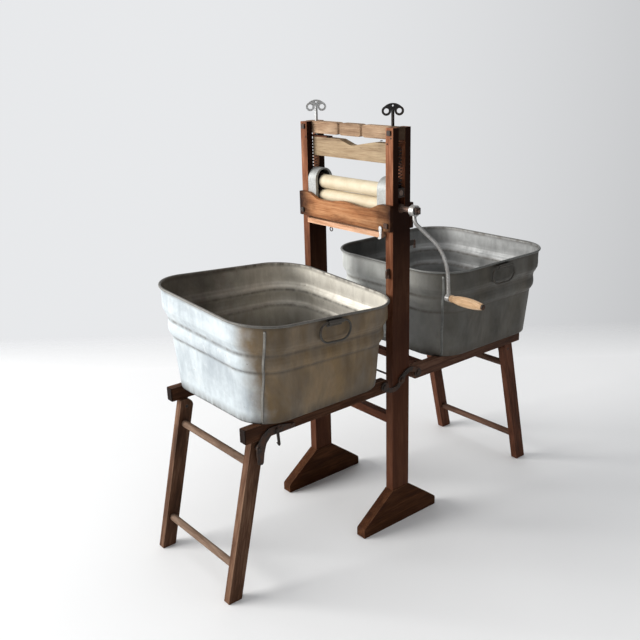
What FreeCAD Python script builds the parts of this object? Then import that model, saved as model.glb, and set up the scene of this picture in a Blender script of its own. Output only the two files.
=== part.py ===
"""Folding bench wringer with two galvanised wash tubs.

Frame: +Z up, +Y along the bench, +X towards the crank.  Millimetres.  The origin is at the centre
of the footprint on the floor.  "near" names the wing on the -Y side and "far" the one on +Y.
"""
import FreeCAD, Part
import math
import os

Vector = FreeCAD.Vector
ALONG_X = FreeCAD.Rotation(Vector(0, 1, 0), 90)
ALONG_Y = FreeCAD.Rotation(Vector(1, 0, 0), -90)

doc = FreeCAD.newDocument("bench_wringer")

# ---------------------------------------------------------------- driving dimensions
SIZES = {
    # the whole object's place over its origin
    "centre_x": -68.75, "centre_y": -4.48,
    # posts and feet
    "post_outer": 204, "post_thick": 29, "post_width": 69, "post_top": 1240,
    "foot_half": 159, "foot_rise": 122, "foot_tip": 29, "foot_thick": 33, "foot_flat": 36,
    "tenon_thick": 13, "tenon_width": 48, "tenon_foot": 20,
    # slot in the top of each post
    "slot_width": 26, "axis_low": 1014.5, "axis_gap": 44,
    # rails that join the posts
    "beam_low": 1205, "beam_high": 1241, "beam_thick": 25.6, "bolt_bore": 8,
    "apron_low": 952, "apron_high": 1027, "apron_thick": 12, "apron_half": 205,
    "apron_bolt": 969, "beam_bolt": 1226,
    "brace_low": 333, "brace_high": 362, "brace_thick": 26,
    # rolls, shafts and gears
    "roll_dia": 43.5, "roll_half": 139.7, "shaft_dia": 16, "fit_gap": 0.05,
    "block_width": 25.4, "block_high": 26, "gear_teeth": 16, "gear_pitch_dia": 44,
    "gear_near": 144, "gear_face": 20, "tooth_above": 3.4, "tooth_below": 4.2,
    "guard_inner": 138, "guard_half": 34, "guard_top": 1100, "guard_low": 984, "sheet": 1.5,
    "guard_opening": 24.5, "lift_room": 12,
    # crank
    "hub_near": 246, "hub_long": 16, "throw_y": 108.5, "throw_z": 269.5, "throw_x": 38,
    "arm_dia": 11, "grip_long": 118, "grip_dia": 30, "pin_dia": 8,
    # pressure works
    "screw_x": 168, "screw_dia": 9, "bar_low": 1138, "bar_high": 1194, "bar_thick": 25,
    "strap_thick": 4, "strap_left": 106, "strap_right": 150, "spring_wire": 3, "spring_dia": 22, "spring_turns": 12,
    # drip board, its hook, and the hooks for the folded wings
    "drip_axis": 938.5, "drip_half": 168, "drip_thick": 11, "drip_edge": 15,
    "drip_pin": 6, "hook_x": 168, "hook_level": 960, "hook_gap": 1.2, "hook_thick": 3, "hook_pin": 4,
    "near_catch": 812, "far_catch": 884,
    # wings
    "near_top": 507, "far_top": 517, "rail_outer": 203.5, "rail_thick": 23.5, "rail_high": 42,
    "rail_end": 575, "hinge_y": 70, "rail_heel": 18, "bar_y": 124, "bar_wide": 24, "bar_deep": 22,
    "rod_dia": 6, "rod_level": 491, "hinge_pin": 10, "bracket_thick": 5,
    # legs
    "leg_outer": 194, "leg_thick": 24, "leg_width": 43, "leg_drop": 23, "leg_tilt": 12.9,
    "leg_foot": 632.5, "rung_dia": 22, "rung_tenon": 14, "rung_low": 95, "rung_high": 389,
    "iron_thick": 4, "iron_inside": 167.5, "latch_thick": 3.4, "latch_pin": 4,
    # tubs
    "tub_wall": 268, "tub_base": 235, "tub_depth": 287, "tub_sheet": 1.6, "tub_corner": 119,
    "rim_dia": 7, "tub_x": -4, "near_tub_y": -310, "far_tub_y": 388, "tub_gap": 0.3,
    "near_lean_x": -4, "near_lean_y": 3.1,
    "ear_drop": 16, "ear_gap": 0.3, "ear_half": 26, "handle_wire": 6, "handle_wide": 106, "handle_high": 55,
}

sheet = doc.addObject("Spreadsheet::Sheet", "dim")
for row, (alias, number) in enumerate(SIZES.items(), 1):
    sheet.set(f"A{row}", alias)
    sheet.set(f"B{row}", str(number))
    sheet.setAlias(f"B{row}", alias)
doc.recompute()


def size(alias):
    """A driving dimension read back from the sheet."""
    return float(getattr(sheet, alias))


CENTRE = Vector(size("centre_x"), size("centre_y"), 0)
NODES = []


# ---------------------------------------------------------------- helpers
def node(label, thing):
    """Mark a document object as a sub-part; its label names its file."""
    thing.Label = label
    NODES.append(thing)
    return thing


def place(thing, x, y, z):
    """Bind an object's place to the sheet; x, y and z are measured from the posts' centre line."""
    for axis, rule in zip("xyz", (f"{x} + dim.centre_x", f"{y} + dim.centre_y", f"{z}")):
        thing.setExpression(f"Placement.Base.{axis}", rule)
    return thing


def primitive(kind, name, at, turn=None, **sizes):
    """A Part primitive whose sizes and place follow the sheet."""
    thing = doc.addObject("Part::" + kind, name)
    for prop, rule in sizes.items():
        thing.setExpression(prop, str(rule))
    if turn is not None:
        thing.Placement.Rotation = turn
    return place(thing, *at)


def box(name, x, y, z):
    """A block between bounds; each of x, y and z is a pair of rules."""
    (x0, x1), (y0, y1), (z0, z1) = x, y, z
    return primitive("Box", name, (x0, y0, z0), Length=f"({x1}) - ({x0})",
                     Width=f"({y1}) - ({y0})", Height=f"({z1}) - ({z0})")


def rod(name, at, radius, length, turn=None):
    """A cylinder that starts at a point and runs along Z, or along X or Y when turned."""
    return primitive("Cylinder", name, at, turn, Radius=radius, Height=length)


def join(name, *things):
    """One object made of several, fused where they meet."""
    group = doc.addObject("Part::MultiFuse", name)
    group.Shapes = list(things)
    return group


def pack(name, *things):
    """Several separate solids kept as one object."""
    group = doc.addObject("Part::Compound", name)
    group.Links = list(things)
    return group


def cut(name, base, *tools):
    """One object with others taken out of it."""
    result = doc.addObject("Part::Cut", name)
    result.Base = base
    result.Tool = tools[0] if len(tools) == 1 else join(name + "_tools", *tools)
    return result


def mirror(name, thing):
    """The same piece on the other side of the machine."""
    twin = doc.addObject("Part::Mirroring", name)
    twin.Source = thing
    twin.Normal = Vector(1, 0, 0)
    twin.Base = CENTRE
    return twin


def both(label, right):
    """Name a piece on the crank side and mirror it for the other side."""
    node(label + "_right", right)
    return node(label + "_left", mirror(label + "_left_twin", right))


def rounded(points):
    """Edges of a closed outline.  Each point is (u, v) or (u, v, radius) for a rounded corner."""
    corners = [Vector(p[0], p[1], 0) for p in points]
    radii = [p[2] if len(p) > 2 else 0 for p in points]
    spans = []
    for i, corner in enumerate(corners):
        back = (corners[i - 1] - corner).normalize()
        ahead = (corners[(i + 1) % len(corners)] - corner).normalize()
        if radii[i] == 0:
            spans.append((corner, None, corner))
            continue
        half = back.getAngle(ahead) / 2
        reach = radii[i] / math.tan(half)
        middle = corner + (back + ahead).normalize() * (radii[i] / math.sin(half) - radii[i])
        spans.append((corner + back * reach, middle, corner + ahead * reach))
    edges = []
    for i, (enter, middle, leave) in enumerate(spans):
        if middle is not None:
            edges.append(Part.Arc(enter, middle, leave))
        after = spans[(i + 1) % len(spans)][0]
        if leave.distanceToPoint(after) > 1e-6:
            edges.append(Part.LineSegment(leave, after))
    return edges


def padded(name, plane, outline, depth, at, midplane=True):
    """A body padded from an outline on one of its origin planes: XZ, YZ or XY."""
    body = doc.addObject("PartDesign::Body", name)
    sketch = body.newObject("Sketcher::SketchObject", name + "_outline")
    origin_plane = [f for f in body.Origin.OriginFeatures if f.Role == plane + "_Plane"][0]
    sketch.AttachmentSupport = [(origin_plane, "")]
    sketch.MapMode = "FlatFace"
    for edge in rounded(outline):
        sketch.addGeometry(edge, False)
    pad = body.newObject("PartDesign::Pad", name + "_pad")
    pad.Profile = sketch
    pad.Midplane = midplane
    pad.setExpression("Length", str(depth))
    body.Tip = pad
    sketch.Visibility = False
    return place(body, *at)


def feature(name, shape):
    """A piece whose shape is swept or lofted here, placed over the origin like the others."""
    thing = doc.addObject("Part::Feature", name)
    thing.Shape = shape
    thing.Placement = FreeCAD.Placement(CENTRE, FreeCAD.Rotation())
    return thing


def swept(points, radius, bends):
    """A round bar along straight runs joined by tangent arcs."""
    edges = []
    start = points[0]
    for before, corner, after, bend in zip(points, points[1:], points[2:], bends):
        back = (before - corner).normalize()
        ahead = (after - corner).normalize()
        half = back.getAngle(ahead) / 2
        enter = corner + back * (bend / math.tan(half))
        leave = corner + ahead * (bend / math.tan(half))
        middle = corner + (back + ahead).normalize() * (bend / math.sin(half) - bend)
        edges.append(Part.LineSegment(start, enter).toShape())
        edges.append(Part.Arc(enter, middle, leave).toShape())
        start = leave
    edges.append(Part.LineSegment(start, points[-1]).toShape())
    path = Part.Wire(edges)
    circle = Part.Wire([Part.makeCircle(radius, points[0], points[1] - points[0])])
    return path.makePipeShell([circle], True, True)


X_MID_POST = "dim.post_outer - dim.post_thick / 2"
POST_X = ("dim.post_outer - dim.post_thick", "dim.post_outer")
BRACE_END = f"{POST_X[0]} + 15"
BRACE_TENON_Y = "7"
BRACE_TENON_Z = ("dim.brace_low + 5", "dim.brace_high - 5")


def across(half):
    """A pair of bounds either side of the centre line."""
    return (f"-({half})", f"{half}")


# ---------------------------------------------------------------- posts and feet
def make_posts():
    """Each post: a slotted upright with a tenon in its foot, bored for everything it carries."""
    shank = box("post_shank", POST_X, across("dim.post_width / 2"), ("dim.foot_rise", "dim.post_top"))
    tenon = foot_tenon("post_tenon")
    slot = box("post_slot", POST_X, across("dim.slot_width / 2"), ("dim.axis_low", "dim.post_top"))
    slot_foot = rod("post_slot_foot", (POST_X[0], 0, "dim.axis_low"), "dim.slot_width / 2",
                    "dim.post_thick", ALONG_X)
    bolts = [rod(f"post_bolt_{level}", (X_MID_POST, "-dim.post_width", f"dim.{level}"),
                 "dim.bolt_bore / 2", "2 * dim.post_width", ALONG_Y)
             for level in ("apron_bolt", "beam_bolt")]
    tie = rod("post_tie", (POST_X[0], 0, "dim.rod_level"), "dim.rod_dia / 2", "dim.post_thick", ALONG_X)
    drip = rod("post_drip", (POST_X[0], 0, "dim.drip_axis"), "dim.drip_pin / 2 + dim.fit_gap", 12, ALONG_X)
    mortise = box("post_mortise", (POST_X[0], BRACE_END), across(BRACE_TENON_Y), BRACE_TENON_Z)
    blank = join("post_blank", shank, tenon)
    both("post", cut("post", blank, slot, slot_foot, *bolts, tie, drip, mortise))


def foot_tenon(name):
    """The block of wood that a post sinks into its foot."""
    half = "dim.tenon_thick / 2"
    return box(name, (f"{X_MID_POST} - {half}", f"{X_MID_POST} + {half}"), across("dim.tenon_width / 2"),
               ("dim.tenon_foot", "dim.foot_rise"))


def make_feet():
    """Trapezoid feet with rounded tips and a mortise for the post."""
    half, flat = size("foot_half"), size("foot_flat")
    tip, rise = size("foot_tip"), size("foot_rise")
    outline = [(-half, 0, 3), (half, 0, 3), (half, tip, 11), (flat, rise), (-flat, rise), (-half, tip, 11)]
    blank = padded("foot_blank", "YZ", outline, "dim.foot_thick", (X_MID_POST, 0, 0))
    both("foot", cut("foot", blank, foot_tenon("foot_mortise")))


# ---------------------------------------------------------------- cross members
GROOVE = 7
NUT_RADIUS, NUT_DEEP = 10, 6
HEAD_HALF, HEAD_DEEP = 7, 5


def make_top_rail():
    """The carved top rail: three panels parted by V grooves, its ends in the post slots."""
    low, high, end = size("beam_low"), size("beam_high"), size("post_outer")
    waist, notch = 50, 5
    top = [(-end, high), (-waist - 11, high, 24), (-waist, high - notch), (-waist + 11, high, 24),
           (waist - 11, high, 24), (waist, high - notch), (waist + 11, high, 24), (end, high)]
    foot = [(end, low), (waist + 14, low), (waist, low + notch), (waist - 12, low),
            (12 - waist, low), (-waist, low + notch), (-waist - 14, low), (-end, low)]
    blank = padded("beam_blank", "XZ", top + foot, "dim.beam_thick", (0, 0, 0))
    diamond = FreeCAD.Rotation(Vector(0, 0, 1), 45)
    height = "dim.beam_high - dim.beam_low"
    cutters = []
    for side in (-1, 1):
        for face in (-1, 1):
            corner = f"{face} * dim.beam_thick / 2 - {GROOVE} * sin(45)"
            groove = primitive("Box", f"beam_groove_{side}_{face}", (side * waist, corner, low), diamond,
                               Length=GROOVE, Width=GROOVE, Height=height)
            cutters.append(groove)
        screw = (f"{side} * dim.screw_x", 0, "dim.beam_low")
        cutters.append(rod(f"beam_screw_{side}", screw, "dim.screw_dia / 2 + 0.4", height))
        cutters.append(rod(f"beam_seat_{side}", screw, NUT_RADIUS, NUT_DEEP))
        bolt = (f"{side} * ({X_MID_POST})", "-dim.post_width", "dim.beam_bolt")
        cutters.append(rod(f"beam_bolt_{side}", bolt, "dim.bolt_bore / 2", "2 * dim.post_width", ALONG_Y))
    node("top_rail", cut("top_rail", blank, *cutters))


def make_screw_nuts():
    """Round iron nuts let into the underside of the top rail for the thumb screws."""
    nuts = []
    for side in (-1, 1):
        at = (f"{side} * dim.screw_x", 0, "dim.beam_low")
        disc = rod(f"nut_disc_{side}", at, NUT_RADIUS, NUT_DEEP)
        hole = rod(f"nut_hole_{side}", at, "dim.screw_dia / 2 + dim.fit_gap", NUT_DEEP)
        nuts.append(cut(f"nut_{side}", disc, hole))
    node("screw_nuts", pack("screw_nuts", *nuts))


def make_aprons():
    """Shaped boards across the front and back of the posts, dipped on each side of a low hump."""
    low, high, half = size("apron_low"), size("apron_high"), size("apron_half")
    dip, hump = high - 18, high - 9
    edge = [(half, high, 3), (160, high, 24), (118, dip, 40), (62, dip, 60), (0, hump, 160)]
    outline = [(-half, low, 3), (half, low, 3)] + edge + [(-x, z, r) for x, z, r in reversed(edge[:-1])]
    for name, side in (("apron_front", -1), ("apron_back", 1)):
        seat = f"{side} * (dim.post_width + dim.apron_thick) / 2"
        board = padded(name + "_board", "XZ", outline, "dim.apron_thick", (0, seat, 0))
        cutters = []
        for end in (-1, 1):
            at = (f"{end} * ({X_MID_POST})", "-dim.post_width", "dim.apron_bolt")
            cutters.append(rod(f"{name}_bolt_{end}", at, "dim.bolt_bore / 2", "2 * dim.post_width", ALONG_Y))
        if side < 0:
            at = ("dim.hook_x", "-dim.post_width", "dim.hook_level")
            running = "dim.hook_pin / 2 + dim.fit_gap"
            cutters.append(rod("apron_hook_bore", at, running, "dim.post_width", ALONG_Y))
        node(name, cut(name, board, *cutters))


def make_frame_bolts():
    """Square-headed bolts through the posts: two hold the top rail and two the aprons."""
    bolts = []
    for end in (-1, 1):
        for level, grip in (("apron_bolt", "dim.post_width / 2 + dim.apron_thick"),
                            ("beam_bolt", "dim.post_width / 2")):
            name = f"bolt_{level}_{end}"
            x = f"{end} * ({X_MID_POST})"
            z = f"dim.{level}"
            stem = rod(name + "_stem", (x, f"-({grip})", z), "dim.bolt_bore / 2", f"2 * ({grip})", ALONG_Y)
            width = (f"{x} - {HEAD_HALF}", f"{x} + {HEAD_HALF}")
            height = (f"{z} - {HEAD_HALF}", f"{z} + {HEAD_HALF}")
            heads = []
            for face, start in (("head", f"-({grip}) - {HEAD_DEEP}"), ("nut", grip)):
                heads.append(box(f"{name}_{face}", width, (start, f"{start} + {HEAD_DEEP}"), height))
            bolts.append(join(name, stem, *heads))
    node("frame_bolts", pack("frame_bolts", *bolts))


def make_stretcher():
    """The square brace between the posts above the feet, tenoned at both ends."""
    bar = box("stretcher_bar", across(POST_X[0]), across("dim.brace_thick / 2"),
              ("dim.brace_low", "dim.brace_high"))
    tenons = box("stretcher_tenons", across(BRACE_END), across(BRACE_TENON_Y), BRACE_TENON_Z)
    node("lower_stretcher", join("lower_stretcher", bar, tenons))


# ---------------------------------------------------------------- gear guards
def make_guards():
    """Sheet hoods over the gears, open to the post, with a slot that the roll ends sit in."""
    half, top, low = size("guard_half"), size("guard_top"), size("guard_low")
    wall = size("sheet")
    depth = f"{POST_X[0]} - dim.guard_inner"

    def hood(name, inset, start, long):
        reach = half - inset
        outline = [(-reach, low), (reach, low), (reach, top - inset, reach - 0.01),
                   (-reach, top - inset, reach - 0.01)]
        return padded(name, "YZ", outline, long, (start, 0, 0), midplane=False)

    shell = hood("guard_shell", 0, "dim.guard_inner", depth)
    hollow = hood("guard_hollow", wall, "dim.guard_inner + dim.sheet", depth)
    slot_top = "dim.axis_low + dim.axis_gap + dim.lift_room"
    slot_low = rod("guard_slot_low", ("dim.guard_inner", 0, "dim.axis_low"), "dim.guard_opening",
                   "dim.sheet", ALONG_X)
    slot_high = rod("guard_slot_high", ("dim.guard_inner", 0, slot_top), "dim.guard_opening",
                    "dim.sheet", ALONG_X)
    slot = box("guard_slot", ("dim.guard_inner", "dim.guard_inner + dim.sheet"), across("dim.guard_opening"),
               ("dim.axis_low", slot_top))
    both("gear_guard", cut("gear_guard", shell, hollow, slot_low, slot_high, slot))


# ---------------------------------------------------------------- rolls and gears
AXIS = {"lower": "dim.axis_low", "upper": "dim.axis_low + dim.axis_gap"}
STUB_RADIUS = 4.5


def make_roll(name):
    """A cream rubber roll on its steel shaft."""
    at = ("-dim.roll_half", 0, AXIS[name])
    long = "2 * dim.roll_half"
    outer = rod(name + "_roll_outer", at, "dim.roll_dia / 2", long, ALONG_X)
    bore = rod(name + "_roll_bore", at, "dim.shaft_dia / 2", long, ALONG_X)
    node(name + "_roll", cut(name + "_roll", outer, bore))


def gear_outline(turn):
    """Straight-flanked teeth about the pitch circle with room to run."""
    teeth = int(size("gear_teeth"))
    pitch = size("gear_pitch_dia") / 2
    tip, root = pitch + size("tooth_above"), pitch - size("tooth_below")
    tooth = math.radians(360 / teeth)
    tip_share, root_share = 0.08, 0.3
    corners = ((root, -root_share), (tip, -tip_share), (tip, tip_share), (root, root_share))
    points = []
    for k in range(teeth):
        middle = math.radians(turn) + k * tooth
        for radius, share in corners:
            angle = middle + share * tooth
            points.append((radius * math.cos(angle), radius * math.sin(angle)))
    return points


def make_gears(name, turn):
    """A spur gear at each end of a shaft, in mesh with its partner inside the guards."""
    wheels = []
    for side, start in ((1, "dim.gear_near"), (-1, "-dim.gear_near - dim.gear_face")):
        at = (start, 0, AXIS[name])
        teeth = gear_outline(turn)
        wheel = padded(f"{name}_gear_blank_{side}", "YZ", teeth, "dim.gear_face", at, midplane=False)
        bore = rod(f"{name}_gear_bore_{side}", at, "dim.shaft_dia / 2", "dim.gear_face", ALONG_X)
        wheels.append(cut(f"{name}_gear_{side}", wheel, bore))
    node(name + "_gears", pack(name + "_gears", *wheels))


def make_bearings():
    """Bushes in the feet of the slots, and sliding blocks above them."""
    bushes = []
    blocks = []
    for side in (1, -1):
        start = POST_X[0] if side > 0 else "-dim.post_outer"
        running = "dim.shaft_dia / 2 + dim.fit_gap"
        at = (start, 0, AXIS["lower"])
        bush = rod(f"bush_{side}", at, "dim.slot_width / 2", "dim.post_thick", ALONG_X)
        hole = rod(f"bush_hole_{side}", at, running, "dim.post_thick", ALONG_X)
        bushes.append(cut(f"bearing_{side}", bush, hole))
        block = box(f"block_{side}", (f"{start} + 1", f"{start} + dim.post_thick - 1"),
                    across("dim.block_width / 2"),
                    (f"{AXIS['upper']} - dim.block_high / 2", f"{AXIS['upper']} + dim.block_high / 2"))
        block_hole = rod(f"block_hole_{side}", (start, 0, AXIS["upper"]), running, "dim.post_thick", ALONG_X)
        blocks.append(cut(f"sliding_block_{side}", block, block_hole))
    node("lower_bearings", pack("lower_bearings", *bushes))
    node("upper_bearings", pack("upper_bearings", *blocks))


def make_shafts():
    """The plain upper shaft, and the crank shaft with its square and threaded end."""
    node("upper_shaft", rod("upper_shaft", ("2 - dim.post_outer", 0, AXIS["upper"]), "dim.shaft_dia / 2",
                            "2 * dim.post_outer - 4", ALONG_X))
    main = rod("crank_shaft_main", ("2 - dim.post_outer", 0, AXIS["lower"]), "dim.shaft_dia / 2",
               "dim.hub_near + dim.post_outer - 2", ALONG_X)
    flat = "dim.shaft_dia * 0.35"
    square = box("crank_shaft_square", ("dim.hub_near", "dim.hub_near + dim.hub_long"), across(flat),
                 (f"{AXIS['lower']} - {flat}", f"{AXIS['lower']} + {flat}"))
    stub_start = ("dim.hub_near + dim.hub_long", 0, AXIS["lower"])
    stub = rod("crank_shaft_stub", stub_start, STUB_RADIUS, 11, ALONG_X)
    node("crank_shaft", join("crank_shaft", main, square, stub))


# ---------------------------------------------------------------- crank
BOSS_LONG = 14


def make_crank():
    """An S-curved cast arm that leans outwards to its boss, a turned grip and its pin."""
    hub_x = size("hub_near") + size("hub_long") / 2
    drop, swing, lean = size("throw_z"), size("throw_y"), size("throw_x")
    axis_z = size("axis_low")

    def spot(y, down):
        return Vector(hub_x + lean * down / drop, y, axis_z - down)

    path = [spot(0, 0), spot(-3, 33), spot(swing + 10, 143), spot(swing, drop)]
    bar = swept(path, size("arm_dia") / 2, (26, 150))
    hub = Part.makeCylinder(16, size("hub_long"), Vector(size("hub_near"), 0, axis_z), Vector(1, 0, 0))
    boss_x = hub_x + lean - BOSS_LONG / 2
    boss = Part.makeCylinder(11, BOSS_LONG, Vector(boss_x, swing, axis_z - drop), Vector(1, 0, 0))
    flat = size("shaft_dia") * 0.35
    corner = Vector(size("hub_near"), -flat, axis_z - flat)
    square = Part.makeBox(size("hub_long"), 2 * flat, 2 * flat, corner)
    boss_at = Vector(boss_x, swing, axis_z - drop)
    pin_hole = Part.makeCylinder(size("pin_dia") / 2, BOSS_LONG, boss_at, Vector(1, 0, 0))
    arm = bar.fuse(hub).fuse(boss).removeSplitter().cut(square).cut(pin_hole)
    node("crank_arm", feature("crank_arm", arm))

    at = ("dim.hub_near + dim.hub_long / 2 + dim.throw_x", "dim.throw_y", "dim.axis_low - dim.throw_z")
    grip_start = f"{at[0]} + 8"
    profile = [(0, 10.5), (12, 10.5), (14, 12), (30, 13.5), (62, 15), (96, 13.5), (112, 11), (118, 8.5)]
    outline = [(0, 4 + size("fit_gap"))] + profile + [(118, 4 + size("fit_gap"))]
    grip = doc.addObject("PartDesign::Body", "grip_body")
    sketch = grip.newObject("Sketcher::SketchObject", "grip_outline")
    sketch.AttachmentSupport = [([f for f in grip.Origin.OriginFeatures if f.Role == "XZ_Plane"][0], "")]
    sketch.MapMode = "FlatFace"
    for edge in rounded(outline):
        sketch.addGeometry(edge, False)
    turned = grip.newObject("PartDesign::Revolution", "grip_turned")
    turned.Profile = sketch
    turned.ReferenceAxis = (sketch, ["H_Axis"])
    turned.Angle = 360
    grip.Tip = turned
    place(grip, grip_start, at[1], at[2])
    node("crank_grip", grip)

    pin_start = (f"{at[0]} - {BOSS_LONG / 2}", at[1], at[2])
    pin = rod("grip_pin", pin_start, "dim.pin_dia / 2", "dim.grip_long + 20", ALONG_X)
    head = rod("grip_pin_head", (f"{grip_start} + dim.grip_long + 0.6", at[1], at[2]), 8, 4, ALONG_X)
    nut_start = "dim.hub_near + dim.hub_long"
    nut = box("hub_nut", (nut_start, f"{nut_start} + 8"), across("9"),
              ("dim.axis_low - 9", "dim.axis_low + 9"))
    nut_hole = rod("hub_nut_hole", (nut_start, 0, "dim.axis_low"), STUB_RADIUS, 8, ALONG_X)
    bored_nut = cut("hub_nut_bored", nut, nut_hole)
    node("crank_fasteners", pack("crank_fasteners", bored_nut, join("grip_bolt", pin, head)))


# ---------------------------------------------------------------- pressure works
def make_pressure_bar():
    """The heavy wooden bar under the top rail, worn to a dip, and the iron straps on its ends."""
    low, high = size("bar_low"), size("bar_high")
    end = size("post_outer") - size("post_thick") - 2.5
    outline = [(-end, low, 3), (end, low, 3), (end, high), (104, high, 60), (62, high - 7, 60),
               (5, high - 17, 50), (-45, high - 1, 40), (-104, high), (-end, high)]
    node("pressure_bar", padded("pressure_bar", "XZ", outline, "dim.bar_thick", (0, 0, 0)))
    end, width = "dim.post_outer - 4", across("dim.bar_thick / 2 - 0.5")
    level = ("dim.bar_high", "dim.bar_high + dim.strap_thick")
    right = box("strap_right_end", ("dim.strap_right", end), width, level)
    left = box("strap_left_end", (f"-({end})", "-dim.strap_left"), width, level)
    node("pressure_straps", pack("pressure_straps", right, left))


def make_thumb_screws():
    """Butterfly thumb screws: a domed head with an eye in each wing, on a long stem."""
    tip = size("bar_high") + size("strap_thick") + 0.4
    neck, crown, wing = 1270, 1304, 31
    for side, name in ((1, "right"), (-1, "left")):
        stem = Part.makeCylinder(size("screw_dia") / 2, neck + 16 - tip, Vector(0, 0, tip))
        tips = Vector(-wing, 0, neck + 15), Vector(wing, 0, neck + 15)
        dome = Part.Arc(tips[0], Vector(0, 0, crown), tips[1]).toShape()
        closing = Part.LineSegment(tips[1], tips[0]).toShape()
        head = Part.Face(Part.Wire([dome, closing])).extrude(Vector(0, 7, 0))
        for eye in (-1, 1):
            centre = Vector(eye * (wing - 13), 0, neck + 13)
            head = head.fuse(Part.makeCylinder(13, 7, centre, Vector(0, 1, 0)))
        head = head.removeSplitter()
        for eye in (-1, 1):
            centre = Vector(eye * (wing - 13), 0, neck + 13)
            head = head.cut(Part.makeCylinder(7, 7, centre, Vector(0, 1, 0)))
        head = head.cut(Part.makeCylinder(2.5, 7, Vector(0, 0, neck + 27), Vector(0, 1, 0)))
        head.translate(Vector(0, -3.5, 0))
        screw = stem.fuse(head).removeSplitter()
        thing = node(f"thumb_screw_{name}", feature(f"thumb_screw_{name}", screw))
        thing.Placement = FreeCAD.Placement(CENTRE + Vector(side * size("screw_x"), 0, 0),
                                            FreeCAD.Rotation(Vector(0, 0, 1), 51))


def make_springs():
    """Coil springs in the post slots between the sliding blocks and the strap ends."""
    wire = size("spring_wire") / 2
    mean = size("spring_dia") / 2 - wire
    start = size("axis_low") + size("axis_gap") + size("block_high") / 2 + 0.5 + wire
    long = size("bar_high") - 0.5 - wire - start
    helix = Part.makeHelix(long / size("spring_turns"), long, mean)
    section = Part.Wire([Part.makeCircle(wire, Vector(mean, 0, 0), Vector(0, 1, 0))])
    coil = Part.Wire(helix).makePipeShell([section], True, True)
    x = size("post_outer") - size("post_thick") / 2
    for side, name in ((1, "right"), (-1, "left")):
        thing = node(f"spring_{name}", feature(f"spring_{name}", coil.copy()))
        thing.Placement = FreeCAD.Placement(CENTRE + Vector(side * x, 0, start), FreeCAD.Rotation())


# ---------------------------------------------------------------- drip board and small irons
def make_drip_board():
    """A tilting board under the rolls with a raised edge strip front and back."""
    reach = "dim.post_width / 2 + dim.apron_thick"
    half_thick = "dim.drip_thick / 2"
    plate = box("drip_plate", across("dim.drip_half"), across(reach),
                (f"dim.drip_axis - {half_thick}", f"dim.drip_axis + {half_thick}"))
    edges = ((f"-({reach})", "-dim.post_width / 2"), ("dim.post_width / 2", reach))
    strip_z = ("dim.drip_axis - dim.drip_edge / 2", "dim.drip_axis + dim.drip_edge / 2")
    strips = [box(f"drip_strip_{i}", across("dim.drip_half"), edge, strip_z) for i, edge in enumerate(edges)]
    bores = [rod(f"drip_bore_{side}", (x, 0, "dim.drip_axis"), "dim.drip_pin / 2", 30, ALONG_X)
             for side, x in ((1, "dim.drip_half - 30"), (-1, "-dim.drip_half"))]
    eye_x, eye_y, eye_wire = -60, -40.5, 1.5
    shank_hole = rod("drip_eye_hole", (eye_x, eye_y, "dim.drip_axis - dim.drip_edge / 2"), eye_wire, 10)
    board = cut("drip_board", join("drip_blank", plate, *strips), *bores, shank_hole)
    node("drip_board", board)
    pins = [rod(f"drip_pin_{side}", (x, 0, "dim.drip_axis"), "dim.drip_pin / 2", 46, ALONG_X)
            for side, x in ((1, "dim.drip_half - 30"), (-1, "-dim.drip_half - 16"))]
    shank = rod("drip_eye_shank", (eye_x, eye_y, "dim.drip_axis - dim.drip_edge / 2 - 3"), eye_wire, 13)
    ring = primitive("Torus", "drip_eye_ring", (eye_x, eye_y, "dim.drip_axis - dim.drip_edge / 2 - 8"),
                     FreeCAD.Rotation(Vector(1, 0, 0), 90), Radius1=6, Radius2=eye_wire)
    node("drip_fittings", pack("drip_fittings", *pins, join("drip_eye", shank, ring)))


def make_drip_hook():
    """A small flat hook on the front apron that catches the drip board."""
    back = "-dim.post_width / 2 - dim.apron_thick - dim.hook_gap"
    outline = [(-6, 6, 5), (6, 6, 5), (5, -8, 2), (4, -30, 3),
               (-9, -34, 4), (-9, -26, 2), (-3, -26, 1), (-5, -8, 2)]
    plate = padded("drip_hook_plate", "XZ", outline, "dim.hook_thick",
                   ("dim.hook_x", f"{back} - dim.hook_thick / 2", "dim.hook_level"))
    pivot = rod("drip_hook_pivot", ("dim.hook_x", back, "dim.hook_level"), "dim.hook_pin / 2", 9, ALONG_Y)
    node("drip_hook", join("drip_hook", plate, pivot))


def make_catches():
    """Iron hooks on the posts that hold a wing when it is folded up, one for each wing."""
    face = size("post_width") / 2
    hooks = []
    for name, side, reach in (("near", -1, 14), ("far", 1, 36)):
        lip = face + reach - 5
        outline = [(face, 0, 0), (face + 4, 0, 1), (face + 4, 12, 2), (lip, 12, 2),
                   (lip, 2, 2), (face + reach, 2, 2), (face + reach, 28, 6), (face, 30, 0)]
        outline = [(side * y, z, r) for y, z, r in outline]
        hooks.append(padded(f"catch_{name}", "YZ", outline, 5, (X_MID_POST, 0, f"dim.{name}_catch")))
    node("wing_catches", pack("wing_catches", *hooks))


# ---------------------------------------------------------------- hinge irons
def wing_top(name):
    """Height of a wing's rails above the floor."""
    return size(name + "_top")


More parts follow.
